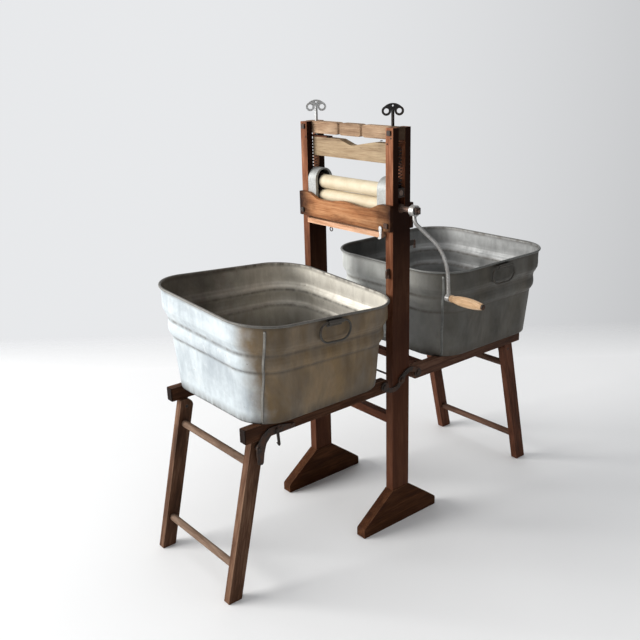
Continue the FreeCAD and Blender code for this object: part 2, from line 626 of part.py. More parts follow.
def make_brackets():
    """S-shaped castings bolted over the posts; each end carries the pivot of one wing."""
    thick, outer = size("bracket_thick"), size("post_outer")
    hinge = size("hinge_y")
    middle = size("rod_level")
    half_high = size("rail_high") / 2
    low = wing_top("near") - half_high
    high = wing_top("far") - half_high
    band = 7

    def spot(y, z):
        return Vector(outer, y, z)

    first = Part.Arc(spot(-hinge, low), spot(-hinge * 0.55, low - 18), spot(0, middle)).toShape()
    second = Part.Arc(spot(0, middle), spot(hinge * 0.55, high + 18), spot(hinge, high)).toShape()
    plate = None
    for edge in (first, second):
        start = edge.valueAt(edge.FirstParameter)
        along = edge.tangentAt(edge.FirstParameter)
        side = along.cross(Vector(1, 0, 0))
        corners = [start + side * band, start - side * band,
                   start - side * band + Vector(thick, 0, 0), start + side * band + Vector(thick, 0, 0)]
        section = Part.makePolygon(corners + [corners[0]])
        piece = Part.Wire([edge]).makePipeShell([section], True, True)
        plate = piece if plate is None else plate.fuse(piece)
    for y, z, radius in ((-hinge, low, 14), (0, middle, 13), (hinge, high, 14)):
        plate = plate.fuse(Part.makeCylinder(radius, thick, spot(y, z), Vector(1, 0, 0)))
    plate = plate.removeSplitter()
    for y, z, radius in ((-hinge, low, size("hinge_pin") / 2), (0, middle, size("rod_dia") / 2),
                         (hinge, high, size("hinge_pin") / 2)):
        plate = plate.cut(Part.makeCylinder(radius, thick, spot(y, z), Vector(1, 0, 0)))
    both("hinge_bracket", feature("hinge_bracket", plate))


def make_hinge_pins():
    """Four wing pivots riveted in the brackets, and the tie rod with its end nuts."""
    outer = "dim.post_outer + dim.bracket_thick"
    inner = "dim.rail_outer - dim.rail_thick + 1"
    pins = []
    for name, side in (("near", -1), ("far", 1)):
        level = f"dim.{name}_top - dim.rail_high / 2"
        for end in (-1, 1):
            start = inner if end > 0 else f"-({outer})"
            stem = rod(f"pivot_{name}_{end}", (start, f"{side} * dim.hinge_y", level), "dim.hinge_pin / 2",
                       f"{outer} - ({inner})", ALONG_X)
            head_at = outer if end > 0 else f"-({outer}) - 3"
            head = rod(f"pivot_head_{name}_{end}", (head_at, f"{side} * dim.hinge_y", level), 8, 3, ALONG_X)
            pins.append(join(f"wing_pivot_{name}_{end}", stem, head))
    node("wing_pivot_pins", pack("wing_pivot_pins", *pins))
    stem = rod("tie_stem", (f"-({outer})", 0, "dim.rod_level"), "dim.rod_dia / 2", f"2 * ({outer})", ALONG_X)
    ends = [box(f"tie_nut_{end}", x, across("6"), ("dim.rod_level - 6", "dim.rod_level + 6"))
            for end, x in ((1, (outer, f"{outer} + 5")), (-1, (f"-({outer}) - 5", f"-({outer})")))]
    node("tie_rod", join("tie_rod", stem, *ends))


# ---------------------------------------------------------------- wings
def make_wing(name, side):
    """Two rails and a cross bar that fold up about the hinge pins.  side is -1 near and +1 far."""
    high = size("rail_high")
    heel, end, hinge = size("rail_heel"), size("rail_end"), size("hinge_y")
    inner_end = side * (hinge - heel)
    outline = [(inner_end, 0, 14), (side * end, 0, 3), (side * end, high, 3), (inner_end, high, 14)]
    level = f"dim.{name}_top - dim.rail_high"
    tenon = 10
    bar_y = (f"{side} * dim.bar_y - dim.bar_wide / 2", f"{side} * dim.bar_y + dim.bar_wide / 2")
    bar_z = (f"dim.{name}_top - 10 - dim.bar_deep", f"dim.{name}_top - 10")
    rail_inner = "dim.rail_outer - dim.rail_thick"
    blank = padded(f"{name}_rail_blank", "YZ", outline, "dim.rail_thick",
                   ("dim.rail_outer - dim.rail_thick / 2", 0, level))
    pivot = rod(f"{name}_rail_pivot", (rail_inner, f"{side} * dim.hinge_y", f"{level} + dim.rail_high / 2"),
                "dim.hinge_pin / 2 + dim.fit_gap", "dim.rail_thick", ALONG_X)
    mortise = box(f"{name}_rail_mortise", (rail_inner, f"{rail_inner} + {tenon}"), bar_y, bar_z)
    both(f"{name}_rail", cut(f"{name}_rail", blank, pivot, mortise))
    node(f"{name}_crossbar", box(f"{name}_crossbar", across(f"{rail_inner} + {tenon}"), bar_y, bar_z))


def leg_pivot(name, side):
    """The point that a wing's legs swing about."""
    z = wing_top(name) - size("rail_high") - size("leg_drop")
    y = size("leg_foot") - z * math.tan(math.radians(size("leg_tilt")))
    return side * y, z


def make_legs(name, side):
    """Splayed legs with one rounded shoulder, cut flat on the floor and joined by two round rungs."""
    y, z = leg_pivot(name, side)
    tilt = math.radians(size("leg_tilt"))
    half = size("leg_width") / 2
    spread = half / math.cos(tilt)
    foot = side * size("leg_foot")
    head = half + 0.8
    head_y = y - side * head * math.tan(tilt)
    outline = [(foot - side * spread, 0, 2), (head_y - side * spread, z + head, half - 0.5),
               (head_y + side * spread, z + head, 3), (foot + side * spread, 0, 2)]
    inner = "dim.leg_outer - dim.leg_thick"
    blank = padded(f"{name}_leg_blank", "YZ", outline, "dim.leg_thick",
                   (f"{inner} + dim.leg_thick / 2", 0, 0))
    bore = rod(f"{name}_leg_bore", (inner, y, z), "dim.hinge_pin / 2 + dim.fit_gap",
               "dim.leg_thick", ALONG_X)
    socket_deep = 12
    rungs = []
    sockets = []
    for level in ("rung_low", "rung_high"):
        rung_y = side * (size("leg_foot") - size(level) * math.tan(tilt))
        at_z = f"dim.{level}"
        body = rod(f"{name}_{level}_body", (f"-({inner})", rung_y, at_z), "dim.rung_dia / 2",
                   f"2 * ({inner})", ALONG_X)
        tenon = rod(f"{name}_{level}_tenon", (f"-({inner}) - {socket_deep}", rung_y, at_z),
                    "dim.rung_tenon / 2", f"2 * ({inner}) + 2 * {socket_deep}", ALONG_X)
        rungs.append(join(f"{name}_{level}_rung", body, tenon))
        sockets.append(rod(f"{name}_{level}_socket", (inner, rung_y, at_z), "dim.rung_tenon / 2",
                           socket_deep, ALONG_X))
    both(f"{name}_leg", cut(f"{name}_leg", blank, bore, *sockets))
    node(f"{name}_rungs", pack(f"{name}_rungs", *rungs))


def make_leg_irons(name, side):
    """Arched irons screwed to the rails that carry the leg pivots.  The far right one is inside."""
    y, z = leg_pivot(name, side)
    arch = [(-8, -46, 5), (9, -51, 6), (14, -18, 20), (22, 8, 14), (40, 27, 14), (120, 26, 4),
            (120, 38, 4), (66, 49, 20), (32, 49, 20), (8, 34, 20), (-9, 6, 12), (-10, -16, 10)]
    outline = [(y - side * u, z + v, r) for u, v, r in arch]
    thick, leg_face, rail_face = size("iron_thick"), size("leg_outer"), size("rail_outer")
    irons = []
    for end in (1, -1):
        inside = name == "far" and end > 0
        plate_x = size("iron_inside") if inside else rail_face + thick / 2
        plate = padded(f"{name}_iron_plate_{end}", "YZ", outline, thick, (end * plate_x, 0, 0))
        if inside:
            pin_from, pin_to = plate_x - thick / 2 - 2.5, leg_face
            spacer = box(f"{name}_iron_spacer_{end}", (plate_x + thick / 2, rail_face - size("rail_thick")),
                         (y - side * 100 - 12, y - side * 100 + 12), (z + 27, z + 39))
        else:
            pin_from, pin_to = leg_face - size("leg_thick"), rail_face + thick + 2.5
            collar = (leg_face + 0.4, rail_face)
            collar_from = collar[0] if end > 0 else -collar[1]
            spacer = rod(f"{name}_iron_collar_{end}", (collar_from, y, z), 9, collar[1] - collar[0], ALONG_X)
        start = pin_from if end > 0 else -pin_to
        pin = rod(f"{name}_iron_pin_{end}", (start, y, z), "dim.hinge_pin / 2", pin_to - pin_from, ALONG_X)
        pieces = [plate, pin, spacer]
        if name == "near" and end > 0:
            pieces += latch_rivet()
        irons.append(join(f"{name}_iron_{end}", *pieces))
    node(f"{name}_leg_irons", pack(f"{name}_leg_irons", *irons))


def latch_pivot():
    """The point that the leg latch swings about, on the near right iron."""
    y, z = leg_pivot("near", -1)
    return y + 58, z + 38


def latch_rivet():
    """The headed rivet that carries the leg latch."""
    y, z = latch_pivot()
    face = "dim.rail_outer + dim.iron_thick"
    stem = rod("latch_rivet_stem", (f"{face} - 1", y, z), "dim.latch_pin / 2",
               "dim.latch_thick + 2.2", ALONG_X)
    head = rod("latch_rivet_head", (f"{face} + dim.latch_thick + 0.8", y, z), "dim.latch_pin", 1.6, ALONG_X)
    return [stem, head]


def make_leg_latch():
    """A barbed hook that hangs from the near iron and holds the folded leg."""
    y, z = latch_pivot()
    hook = [(-6, 6, 5), (6, 6, 5), (5, -6, 2), (8, -46, 3),
            (3, -50, 2), (-5, -35, 1), (0, -38, 1), (-3, -8, 2)]
    outline = [(y + u, z + v, r) for u, v, r in hook]
    face = "dim.rail_outer + dim.iron_thick + 0.4"
    plate = padded("leg_latch_plate", "YZ", outline, "dim.latch_thick",
                   (f"{face} + dim.latch_thick / 2", 0, 0))
    running = "dim.latch_pin / 2 + dim.fit_gap"
    eye = rod("leg_latch_eye", (face, y, z), running, "dim.latch_thick", ALONG_X)
    node("leg_latch", cut("leg_latch", plate, eye))


# ---------------------------------------------------------------- tubs
def ring(half, corner, z):
    """A rounded square wire."""
    k = half - corner
    d = corner * math.sqrt(0.5)
    edges = []
    for turn in range(4):
        spin = FreeCAD.Rotation(Vector(0, 0, 1), 90 * turn)
        points = [Vector(half, -k, z), Vector(half, k, z), Vector(k + d, k + d, z), Vector(k, half, z)]
        side, bend, mid, after = [spin.multVec(p) for p in points]
        edges.append(Part.LineSegment(side, bend).toShape())
        edges.append(Part.Arc(bend, mid, after).toShape())
    return Part.Wire(edges)


def tub_levels():
    """Half-width of the wall's outside at each level: straight band, two swaged ribs, taper."""
    depth, wall, base = size("tub_depth"), size("tub_wall"), size("tub_base")
    return [(0, base), (depth - 140, wall - 21), (depth - 128, wall - 19.5), (depth - 112, wall - 11),
            (depth - 92, wall - 11.5), (depth - 76, wall - 12), (depth - 60, wall - 3),
            (depth - 48, wall), (depth, wall)]


def tub_corner(half):
    """Corner radius of the wall where it is this wide."""
    return size("tub_corner") - (size("tub_wall") - half) * 0.6


def leaned(shape, z, lean):
    """A level shape tipped as a bent tub's wall is at this height: none at the foot, most at the rim."""
    share = z / size("tub_depth")
    for axis, angle in zip((Vector(1, 0, 0), Vector(0, 1, 0)), lean):
        shape.rotate(Vector(0, 0, z), axis, angle * share)
    return shape


def make_tub(name, top, y, lean=(0, 0)):
    """A square galvanised tub: tapering wall, sunk bottom, rolled rim, ears and drop handles."""
    depth, thin = size("tub_depth"), size("tub_sheet")

    def lofted(inset):
        rings = [leaned(ring(half - inset, tub_corner(half) - inset, z), z, lean) for z, half in tub_levels()]
        return Part.makeLoft(rings, True, True)

    wall = lofted(0).cut(lofted(thin))
    floor_z = 8
    foot, knee = tub_levels()[:2]
    taper = (knee[1] - foot[1]) / knee[0]
    floor_half = foot[1] + taper * floor_z - thin / 2
    floor_corner = tub_corner(floor_half) - thin / 2
    floor_edge = [ring(floor_half + taper * z, floor_corner, floor_z + z) for z in (0, thin)]
    wall = wall.fuse(leaned(Part.makeLoft(floor_edge, True, True), floor_z, lean))
    rim_half, rim_corner = size("tub_wall") + 3, size("tub_corner") + 3
    rim_z = depth - size("rim_dia") / 2
    path = ring(rim_half, rim_corner, rim_z)
    start = Vector(rim_half, rim_corner - rim_half, rim_z)
    bead = Part.Wire([Part.makeCircle(size("rim_dia") / 2, start, Vector(0, 1, 0))])
    wall = wall.fuse(leaned(path.makePipeShell([bead], True, True), rim_z, lean))
    at = CENTRE + Vector(size("tub_x"), y, top + size("tub_gap"))
    tub = node(f"{name}_tub", feature(f"{name}_tub", wall))
    tub.Placement = FreeCAD.Placement(at, FreeCAD.Rotation())

    ear_z = depth - size("ear_drop")
    wall_face = size("tub_wall")
    barrel_x = wall_face + 8
    wire = size("handle_wire") / 2
    ear_half = size("ear_half")
    clear = size("ear_gap")
    plate = Part.makeBox(2 - clear, 2 * ear_half, 20, Vector(wall_face + clear, -ear_half, ear_z - 13))
    barrel_end = Vector(barrel_x, -ear_half, ear_z)
    barrel = Part.makeCylinder(5.2, 2 * ear_half, barrel_end, Vector(0, 1, 0))
    web = Part.makeBox(barrel_x - wall_face - 1, 2 * ear_half, 3, Vector(wall_face + 1, -ear_half, ear_z - 1.5))
    ear = plate.fuse(web).fuse(barrel).removeSplitter()
    ear = ear.cut(Part.makeCylinder(wire + size("fit_gap"), 2 * ear_half, barrel_end, Vector(0, 1, 0)))

    tip_x, tip_y = (angle * ear_z / depth for angle in lean)

    def seat(end):
        """Where the ear and handle of one side sit on the leaning wall."""
        inset = wall_face * (1 - math.cos(math.radians(tip_y)))
        drop = wall_face * math.sin(math.radians(tip_y))
        tipped = FreeCAD.Placement(Vector(-end * inset, 0, -end * drop),
                                   FreeCAD.Rotation(Vector(1, 0, 0), tip_x), Vector(0, 0, ear_z))
        half_turn = FreeCAD.Rotation(Vector(0, 0, 1), 0 if end > 0 else 180)
        return tipped.multiply(FreeCAD.Placement(Vector(), half_turn))

    ears = Part.makeCompound([ear.transformed(seat(end).toMatrix(), copy=True) for end in (1, -1)])
    thing = node(f"{name}_tub_ears", feature(f"{name}_tub_ears", ears))
    thing.Placement = FreeCAD.Placement(at, FreeCAD.Rotation())

    handle = drop_handle(barrel_x, ear_z)
    for end, side in ((1, "right"), (-1, "left")):
        thing = node(f"{name}_handle_{side}", feature(f"{name}_handle_{side}", handle.copy()))
        thing.Placement = FreeCAD.Placement(at, FreeCAD.Rotation()).multiply(seat(end))


def drop_handle(x, z):
    """A closed handle of round wire: a straight bar through the ear and a rounded loop below."""
    wide, tall, wire = size("handle_wide") / 2, size("handle_high"), size("handle_wire") / 2
    outline = [(-wide, 0, 23), (wide, 0, 23), (wide, -tall, 31), (-wide, -tall, 31)]
    edges = [edge.toShape() for edge in rounded(outline)]
    path = Part.Wire(Part.__sortEdges__(edges))
    begin = path.Edges[0]
    first, along = begin.valueAt(begin.FirstParameter), begin.tangentAt(begin.FirstParameter)
    bar = path.makePipeShell([Part.Wire([Part.makeCircle(wire, first, along)])], True, True)
    stand = FreeCAD.Matrix(0, 0, 1, x, 1, 0, 0, 0, 0, 1, 0, z, 0, 0, 0, 1)
    return bar.transformed(stand, copy=True)


make_posts()
make_feet()
make_top_rail()
make_screw_nuts()
make_aprons()
make_frame_bolts()
make_stretcher()
make_guards()
for roll in ("lower", "upper"):
    make_roll(roll)
make_gears("lower", 0)
make_gears("upper", 180 / size("gear_teeth"))
make_bearings()
make_shafts()
make_crank()
make_pressure_bar()
make_thumb_screws()
make_springs()
make_drip_board()
make_drip_hook()
make_catches()
make_brackets()
make_hinge_pins()
for wing, wing_side in (("near", -1), ("far", 1)):
    make_wing(wing, wing_side)
    make_legs(wing, wing_side)
    make_leg_irons(wing, wing_side)
make_tub("near", wing_top("near"), size("near_tub_y"), (size("near_lean_x"), size("near_lean_y")))
make_tub("far", wing_top("far"), size("far_tub_y"))
make_leg_latch()

# ---------------------------------------------------------------- checks and files
doc.recompute()
for thing in doc.Objects:
    if {"Invalid", "Error"} & set(thing.State):
        raise RuntimeError(f"{thing.Label} failed: {thing.State}")
bounds = FreeCAD.BoundBox()
for thing in NODES:
    if thing.Shape.isNull() or not thing.Shape.isValid():
        raise RuntimeError(f"{thing.Label} has no valid shape")
    bounds.add(thing.Shape.BoundBox)
os.makedirs("parts", exist_ok=True)
for thing in NODES:
    thing.Shape.exportStep(f"parts/{thing.Label}.step")
print(len(NODES), "sub-parts")
low, high = bounds.getPoint(0), bounds.getPoint(6)
print("box from", [round(v, 2) for v in low], "to", [round(v, 2) for v in high])
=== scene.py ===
"""Looks for the folding bench wringer: metres, +Z up, +X towards the crank, +Y along the bench."""
import math
import random

import bpy
import bmesh
from mathutils import Matrix, Vector


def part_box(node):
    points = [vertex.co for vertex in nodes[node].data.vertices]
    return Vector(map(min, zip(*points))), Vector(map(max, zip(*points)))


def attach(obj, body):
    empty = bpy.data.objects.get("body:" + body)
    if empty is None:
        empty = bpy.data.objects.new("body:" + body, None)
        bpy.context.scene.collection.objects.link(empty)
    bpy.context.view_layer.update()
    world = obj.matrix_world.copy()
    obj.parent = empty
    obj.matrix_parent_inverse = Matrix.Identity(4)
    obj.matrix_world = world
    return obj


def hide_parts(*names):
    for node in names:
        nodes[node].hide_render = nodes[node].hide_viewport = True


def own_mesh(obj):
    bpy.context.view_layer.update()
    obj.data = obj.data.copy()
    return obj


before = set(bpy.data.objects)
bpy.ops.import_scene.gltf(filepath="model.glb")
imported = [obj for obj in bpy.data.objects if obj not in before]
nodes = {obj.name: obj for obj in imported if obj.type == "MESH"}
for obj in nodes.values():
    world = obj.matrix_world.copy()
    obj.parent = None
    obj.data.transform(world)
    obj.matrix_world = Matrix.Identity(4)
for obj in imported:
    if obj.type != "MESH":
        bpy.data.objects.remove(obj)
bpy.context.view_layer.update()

MM = 0.001


# ---------------------------------------------------------------- where things are
def middle(node):
    """The centre of a CAD node's box."""
    low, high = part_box(node)
    return (low + high) / 2


ORIGIN_X = (middle("post_left").x + middle("post_right").x) / 2
ORIGIN_Y = middle("post_left").y
POST_HALF_Y = (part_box("post_left")[1].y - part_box("post_left")[0].y) / 2


def spot(x, y, z):
    """A point given in millimetres from the posts' centre line and the floor."""
    return Vector((ORIGIN_X + x * MM, ORIGIN_Y + y * MM, z * MM))


# ---------------------------------------------------------------- shader helpers
def times(colour, factor):
    """A colour made darker or lighter, held at 1 or less."""
    return tuple(min(1, c * factor) for c in colour)


class Shader:
    """A node material with a Principled surface, built by short calls."""

    def __init__(self, name):
        self.material = bpy.data.materials.new(name)
        self.material.use_nodes = True
        self.tree = self.material.node_tree
        self.surface = self.tree.nodes["Principled BSDF"]
        self.place = self.add("ShaderNodeTexCoord").outputs["Object"]

    def add(self, kind, **settings):
        """A node; settings are its own properties."""
        made = self.tree.nodes.new(kind)
        for key, value in settings.items():
            setattr(made, key, value)
        return made

    def feed(self, socket, value):
        """Link an output to a socket, or set the socket's value."""
        if isinstance(value, bpy.types.NodeSocket):
            self.tree.links.new(value, socket)
        else:
            socket.default_value = value

    def mapped(self, scale, turn=(0, 0, 0), shift=(0, 0, 0), source=None):
        """Object coordinates, or another vector, scaled, then turned, then moved."""
        mapping = self.add("ShaderNodeMapping")
        self.feed(mapping.inputs["Vector"], self.place if source is None else source)
        mapping.inputs["Scale"].default_value = scale
        mapping.inputs["Rotation"].default_value = turn
        mapping.inputs["Location"].default_value = shift
        return mapping.outputs["Vector"]

    def noise(self, vector, scale, detail=4.0, rough=0.55, warp=0.0):
        """Noise in 0 to 1."""
        made = self.add("ShaderNodeTexNoise")
        self.feed(made.inputs["Vector"], vector)
        made.inputs["Scale"].default_value = scale
        made.inputs["Detail"].default_value = detail
        made.inputs["Roughness"].default_value = rough
        made.inputs["Distortion"].default_value = warp
        return made.outputs["Fac"]

    def cells(self, vector, scale):
        """Voronoi cells, each with a colour of its own."""
        made = self.add("ShaderNodeTexVoronoi")
        self.feed(made.inputs["Vector"], vector)
        made.inputs["Scale"].default_value = scale
        return made.outputs["Color"]

    def span(self, value, low, high, to_low=0.0, to_high=1.0):
        """A value moved from one range to another and held inside it."""
        made = self.add("ShaderNodeMapRange")
        self.feed(made.inputs["Value"], value)
        for key, number in (("From Min", low), ("From Max", high), ("To Min", to_low), ("To Max", to_high)):
            made.inputs[key].default_value = number
        return made.outputs["Result"]

    def maths(self, kind, first, second=0.5):
        """One arithmetic step."""
        made = self.add("ShaderNodeMath", operation=kind)
        self.feed(made.inputs[0], first)
        self.feed(made.inputs[1], second)
        return made.outputs[0]

    def mix(self, amount, first, second, blend="MIX"):
        """Two colours mixed."""
        made = self.add("ShaderNodeMix", data_type="RGBA", blend_type=blend)
        self.feed(made.inputs[0], amount)
        for socket, value in ((made.inputs[6], first), (made.inputs[7], second)):
            self.feed(socket, value if isinstance(value, bpy.types.NodeSocket) else (*value, 1.0))
        return made.outputs[2]

    def ramp(self, value, stops):
        """A colour ramp: stops are (position, colour)."""
        made = self.add("ShaderNodeValToRGB")
        self.feed(made.inputs["Fac"], value)
        band = made.color_ramp
        while len(band.elements) < len(stops):
            band.elements.new(0.5)
        for element, (at, colour) in zip(band.elements, stops):
            element.position = at
            element.color = (*colour, 1.0)
        return made.outputs["Color"]

    def axis(self, name, vector=None):
        """One coordinate of a vector."""
        made = self.add("ShaderNodeSeparateXYZ")
        self.feed(made.inputs[0], self.place if vector is None else vector)
        return made.outputs[name]

    def worn(self, radius, low=0.02, high=0.35):
        """1 along outer and inner edges, 0 on flat faces."""
        bevel = self.add("ShaderNodeBevel", samples=4)
        bevel.inputs["Radius"].default_value = radius
        flat = self.add("ShaderNodeNewGeometry").outputs["Normal"]
        dot = self.add("ShaderNodeVectorMath", operation="DOT_PRODUCT")
        self.feed(dot.inputs[0], bevel.outputs["Normal"])
        self.feed(dot.inputs[1], flat)
        return self.span(self.maths("SUBTRACT", 1.0, dot.outputs["Value"]), low, high)

    def bump(self, height, strength, distance):
        """Raise the surface by a height field."""
        made = self.add("ShaderNodeBump")
        made.inputs["Strength"].default_value = strength
        made.inputs["Distance"].default_value = distance
        self.feed(made.inputs["Height"], height)
        self.tree.links.new(made.outputs["Normal"], self.surface.inputs["Normal"])

    def finish(self, colour, rough, metallic=0.0, specular=0.5):
        """Wire up the surface."""
        self.feed(self.surface.inputs["Base Color"], colour)
        self.feed(self.surface.inputs["Roughness"], rough)
        self.feed(self.surface.inputs["Metallic"], metallic)
        self.surface.inputs["Specular IOR Level"].default_value = specular
        return self.material


# ---------------------------------------------------------------- wood
ALONG = {"X": (0, math.pi / 2, 0), "Y": (math.pi / 2, 0, 0), "Z": (0, 0, 0)}


def wood(name, dark, middle_tone, light, along="Z", tilt=0.0, stain=0.5, edge=None, edge_amount=0.5,
         rough=(0.42, 0.68), grain=1.0, shift=0.0, ends=None, painted_shade=None):
    """Old wood: long grain, growth bands, dark pores, stains and rubbed edges.

    along is the grain's axis, which tilt turns about X, and shift sets one board's grain off from another's.
    ends is (axis, start, end, amount): darkening between two distances from the posts' centre.
    painted_shade is (start, end, amount): painted shade, darker from the first height down to the second, and
    darker on the faces along X higher up.
    """
    s = Shader(name)
    turn = ALONG[along]
    straight = s.mapped((1, 1, 1), (turn[0] + tilt, turn[1], turn[2]), (shift, shift * 0.7, shift * 0.4))
    lines = s.mapped((1, 1, 0.04), source=straight)
    bands = s.mapped((1, 1, 0.10), source=straight)
    fine = s.noise(lines, 380 * grain, 3, 0.6)
    medium = s.noise(bands, 62 * grain, 5, 0.62, 0.5)
    broad = s.noise(s.mapped((1, 1, 0.22), source=straight), 15 * grain, 4, 0.6, 0.3)
    tone = s.maths("ADD", s.maths("MULTIPLY", fine, 0.28), s.maths("MULTIPLY", medium, 0.42))
    tone = s.maths("ADD", tone, s.maths("MULTIPLY", broad, 0.30))
    colour = s.ramp(tone, [(0.37, dark), (0.49, middle_tone), (0.61, light)])
    pores = s.span(s.noise(lines, 800 * grain, 2, 0.5), 0.60, 0.74, 0, 0.6)
    deep = times(dark, 0.30)
    colour = s.mix(pores, colour, deep)
    cloud = s.noise(s.mapped((1, 1, 0.45), source=straight), 9, 5, 0.62)
    colour = s.mix(s.span(cloud, 0.50, 0.72, 0, stain), colour, deep)
    pale = s.noise(s.mapped((1, 1, 0.3), source=straight), 24, 4, 0.6)
    colour = s.mix(s.span(pale, 0.60, 0.80, 0, 0.3), colour, times(light, 1.2))
    if edge is not None:
        rub = s.maths("MULTIPLY", s.worn(0.003), s.span(s.noise(s.place, 70, 4), 0.35, 0.6, 0.15, 1))
        colour = s.mix(s.maths("MULTIPLY", rub, edge_amount), colour, edge)
    wander = s.maths("MULTIPLY", s.maths("SUBTRACT", s.noise(s.place, 20, 5, 0.65), 0.5), 0.10)
    if ends is not None:
        axis, start, end, amount = ends
        centre = ORIGIN_X if axis == "X" else ORIGIN_Y
        away = s.maths("ABSOLUTE", s.maths("SUBTRACT", s.axis(axis), centre))
        uneven = s.maths("MULTIPLY", wander, min(1, (end - start) * 20))
        far = s.span(s.maths("ADD", away, uneven), start, end, 0, amount)
        colour = s.mix(far, colour, times(deep, 0.6))
    # painted shade: the posts darken lower down, and their faces along X, turned from the window, darken
    # higher up
    if painted_shade is not None:
        start, end, amount = painted_shade
        level = s.maths("ADD", s.axis("Z"), s.maths("MULTIPLY", wander, 2.0))
        colour = s.mix(s.span(level, start, end, 0, amount), colour, times(dark, 0.45))
        facing = s.maths("ABSOLUTE", s.axis("X", s.add("ShaderNodeNewGeometry").outputs["Normal"]))
        shade = s.maths("MULTIPLY", s.span(facing, 0.6, 0.95), s.span(s.axis("Z"), 0.35, 0.95, 0, 1.0))
        colour = s.mix(shade, colour, times(deep, 0.5))
    s.bump(s.maths("ADD", s.maths("MULTIPLY", fine, 0.6), s.maths("MULTIPLY", pores, -0.9)), 0.3, 0.0006)
    return s.finish(colour, s.span(medium, 0.3, 0.7, *rough), specular=0.06)


# ---------------------------------------------------------------- metals and rubber
TUB_DEPTH = 0.287
GROOVES = (0.150, 0.199)
# how far grime with painted shade reaches from each groove; the bands at the foot and under the rim, and
# their colour, are grime with painted shade too
GROOVE_REACH = (0.0012, 0.0085)
FOOT_DIRT_AND_SHADE = 0.030
RIM_DIRT_AND_SHADE = (0.016, 0.006)
DIRT_AND_SHADE = (0.075, 0.062, 0.048)
SPECK = (0.13, 0.08, 0.05)


def galvanised(name, pale, grey, blotch, oxide, stain_and_shade_side, stain, stain_and_shade_amount, tub, deep_shade_amount=0.0):
    """Old zinc sheet: spangle, white oxide clouds, streaks, brown stains with painted shade on one side, and
    grime with painted shade at the foot, under the rim and along the grooves.

    stain_and_shade_side is (x, y, start, end): a brown stain with painted shade grows in this direction
    between two distances from the middle.
    tub is (x, y, z, lean about X, lean about Y) of the tub's foot. deep_shade_amount darkens the lower part,
    as painted shade deep inside the tub.
    """
    s = Shader(name)
    spangle = s.cells(s.mapped((1, 1, 0.8)), 85)
    crystal = s.axis("X", spangle)
    cloud = s.noise(s.place, 7, 7, 0.62, 0.5)
    streak = s.noise(s.mapped((1, 1, 0.12)), 55, 5, 0.6)
    patch = s.noise(s.mapped((1, 1, 0.7), shift=(3, 1, 2)), 17, 6, 0.66, 0.4)
    colour = s.ramp(s.maths("ADD", s.maths("MULTIPLY", cloud, 0.7), s.maths("MULTIPLY", streak, 0.3)),
                    [(0.36, grey), (0.52, pale), (0.66, times(pale, 1.12))])
    colour = s.mix(s.span(crystal, 0.2, 1.0, 0.0, 0.22), colour, grey)
    colour = s.mix(s.span(patch, 0.55, 0.72, 0, 0.55), colour, blotch)
    colour = s.mix(s.span(s.noise(s.place, 34, 6, 0.7), 0.60, 0.74, 0, 0.6), colour, oxide)
    x, y = s.maths("SUBTRACT", s.axis("X"), tub[0]), s.maths("SUBTRACT", s.axis("Y"), tub[1])
    wander = s.maths("MULTIPLY", s.maths("SUBTRACT", s.noise(s.place, 9, 5, 0.6), 0.5), 0.08)
    # brown stain with painted shade, growing towards the side that is turned away from the window
    to_x, to_y, start, end = stain_and_shade_side
    along = s.maths("ADD", s.maths("MULTIPLY", x, to_x), s.maths("MULTIPLY", y, to_y))
    side = s.span(s.maths("ADD", along, wander), start, end)
    patchy = s.span(s.noise(s.mapped((1, 1, 0.5)), 8, 6, 0.62, 0.8), 0.36, 0.62, 0.91, 1.0)
    brown = s.maths("MULTIPLY", side, patchy)
    tint = s.ramp(s.noise(s.mapped((1, 1, 0.35), shift=(1, 2, 3)), 14, 5, 0.6, 0.4),
                  [(0.38, times(stain, 0.72)), (0.52, stain), (0.68, times(stain, 1.45))])
    colour = s.mix(s.maths("MULTIPLY", brown, stain_and_shade_amount), colour, tint)
    # painted shade: darker deep inside the tub
    deep_shade = s.span(s.axis("Z"), tub[2] + 0.19, tub[2] + 0.02, 0, deep_shade_amount)
    colour = s.mix(deep_shade, colour, times(stain, 0.8))
    # the wall's own height: the lean lifts one side and drops the other
    rise = s.maths("ADD", s.maths("MULTIPLY", y, math.radians(tub[3]) / TUB_DEPTH),
                   s.maths("MULTIPLY", x, -math.radians(tub[4]) / TUB_DEPTH))
    level = s.maths("DIVIDE", s.maths("SUBTRACT", s.axis("Z"), tub[2]), s.maths("ADD", rise, 1.0))
    # grime with painted shade at the foot, under the rim and along the grooves
    foot = s.span(level, 0, FOOT_DIRT_AND_SHADE, 1, 0)
    top = s.span(level, TUB_DEPTH - RIM_DIRT_AND_SHADE[0], TUB_DEPTH - RIM_DIRT_AND_SHADE[1], 0, 1)
    dirt_and_shade = s.maths("MAXIMUM", foot, top)
    for groove in GROOVES:
        gap = s.maths("ABSOLUTE", s.maths("SUBTRACT", level, groove))
        dirt_and_shade = s.maths("MAXIMUM", dirt_and_shade, s.span(gap, *GROOVE_REACH, 0.85, 0))
    dirt_and_shade = s.maths("MULTIPLY", dirt_and_shade, s.span(streak, 0.30, 0.62, 0.25, 0.85))
    colour = s.mix(dirt_and_shade, colour, DIRT_AND_SHADE)
    speck = s.span(s.noise(s.place, 120, 3, 0.6), 0.70, 0.76, 0, 0.8)
    colour = s.mix(speck, colour, SPECK)
    s.bump(s.maths("ADD", s.maths("MULTIPLY", cloud, 1.5), s.maths("MULTIPLY", streak, 0.25)), 0.35, 0.004)
    return s.finish(colour, s.span(patch, 0.3, 0.7, 0.40, 0.64), 0.22, 0.32)


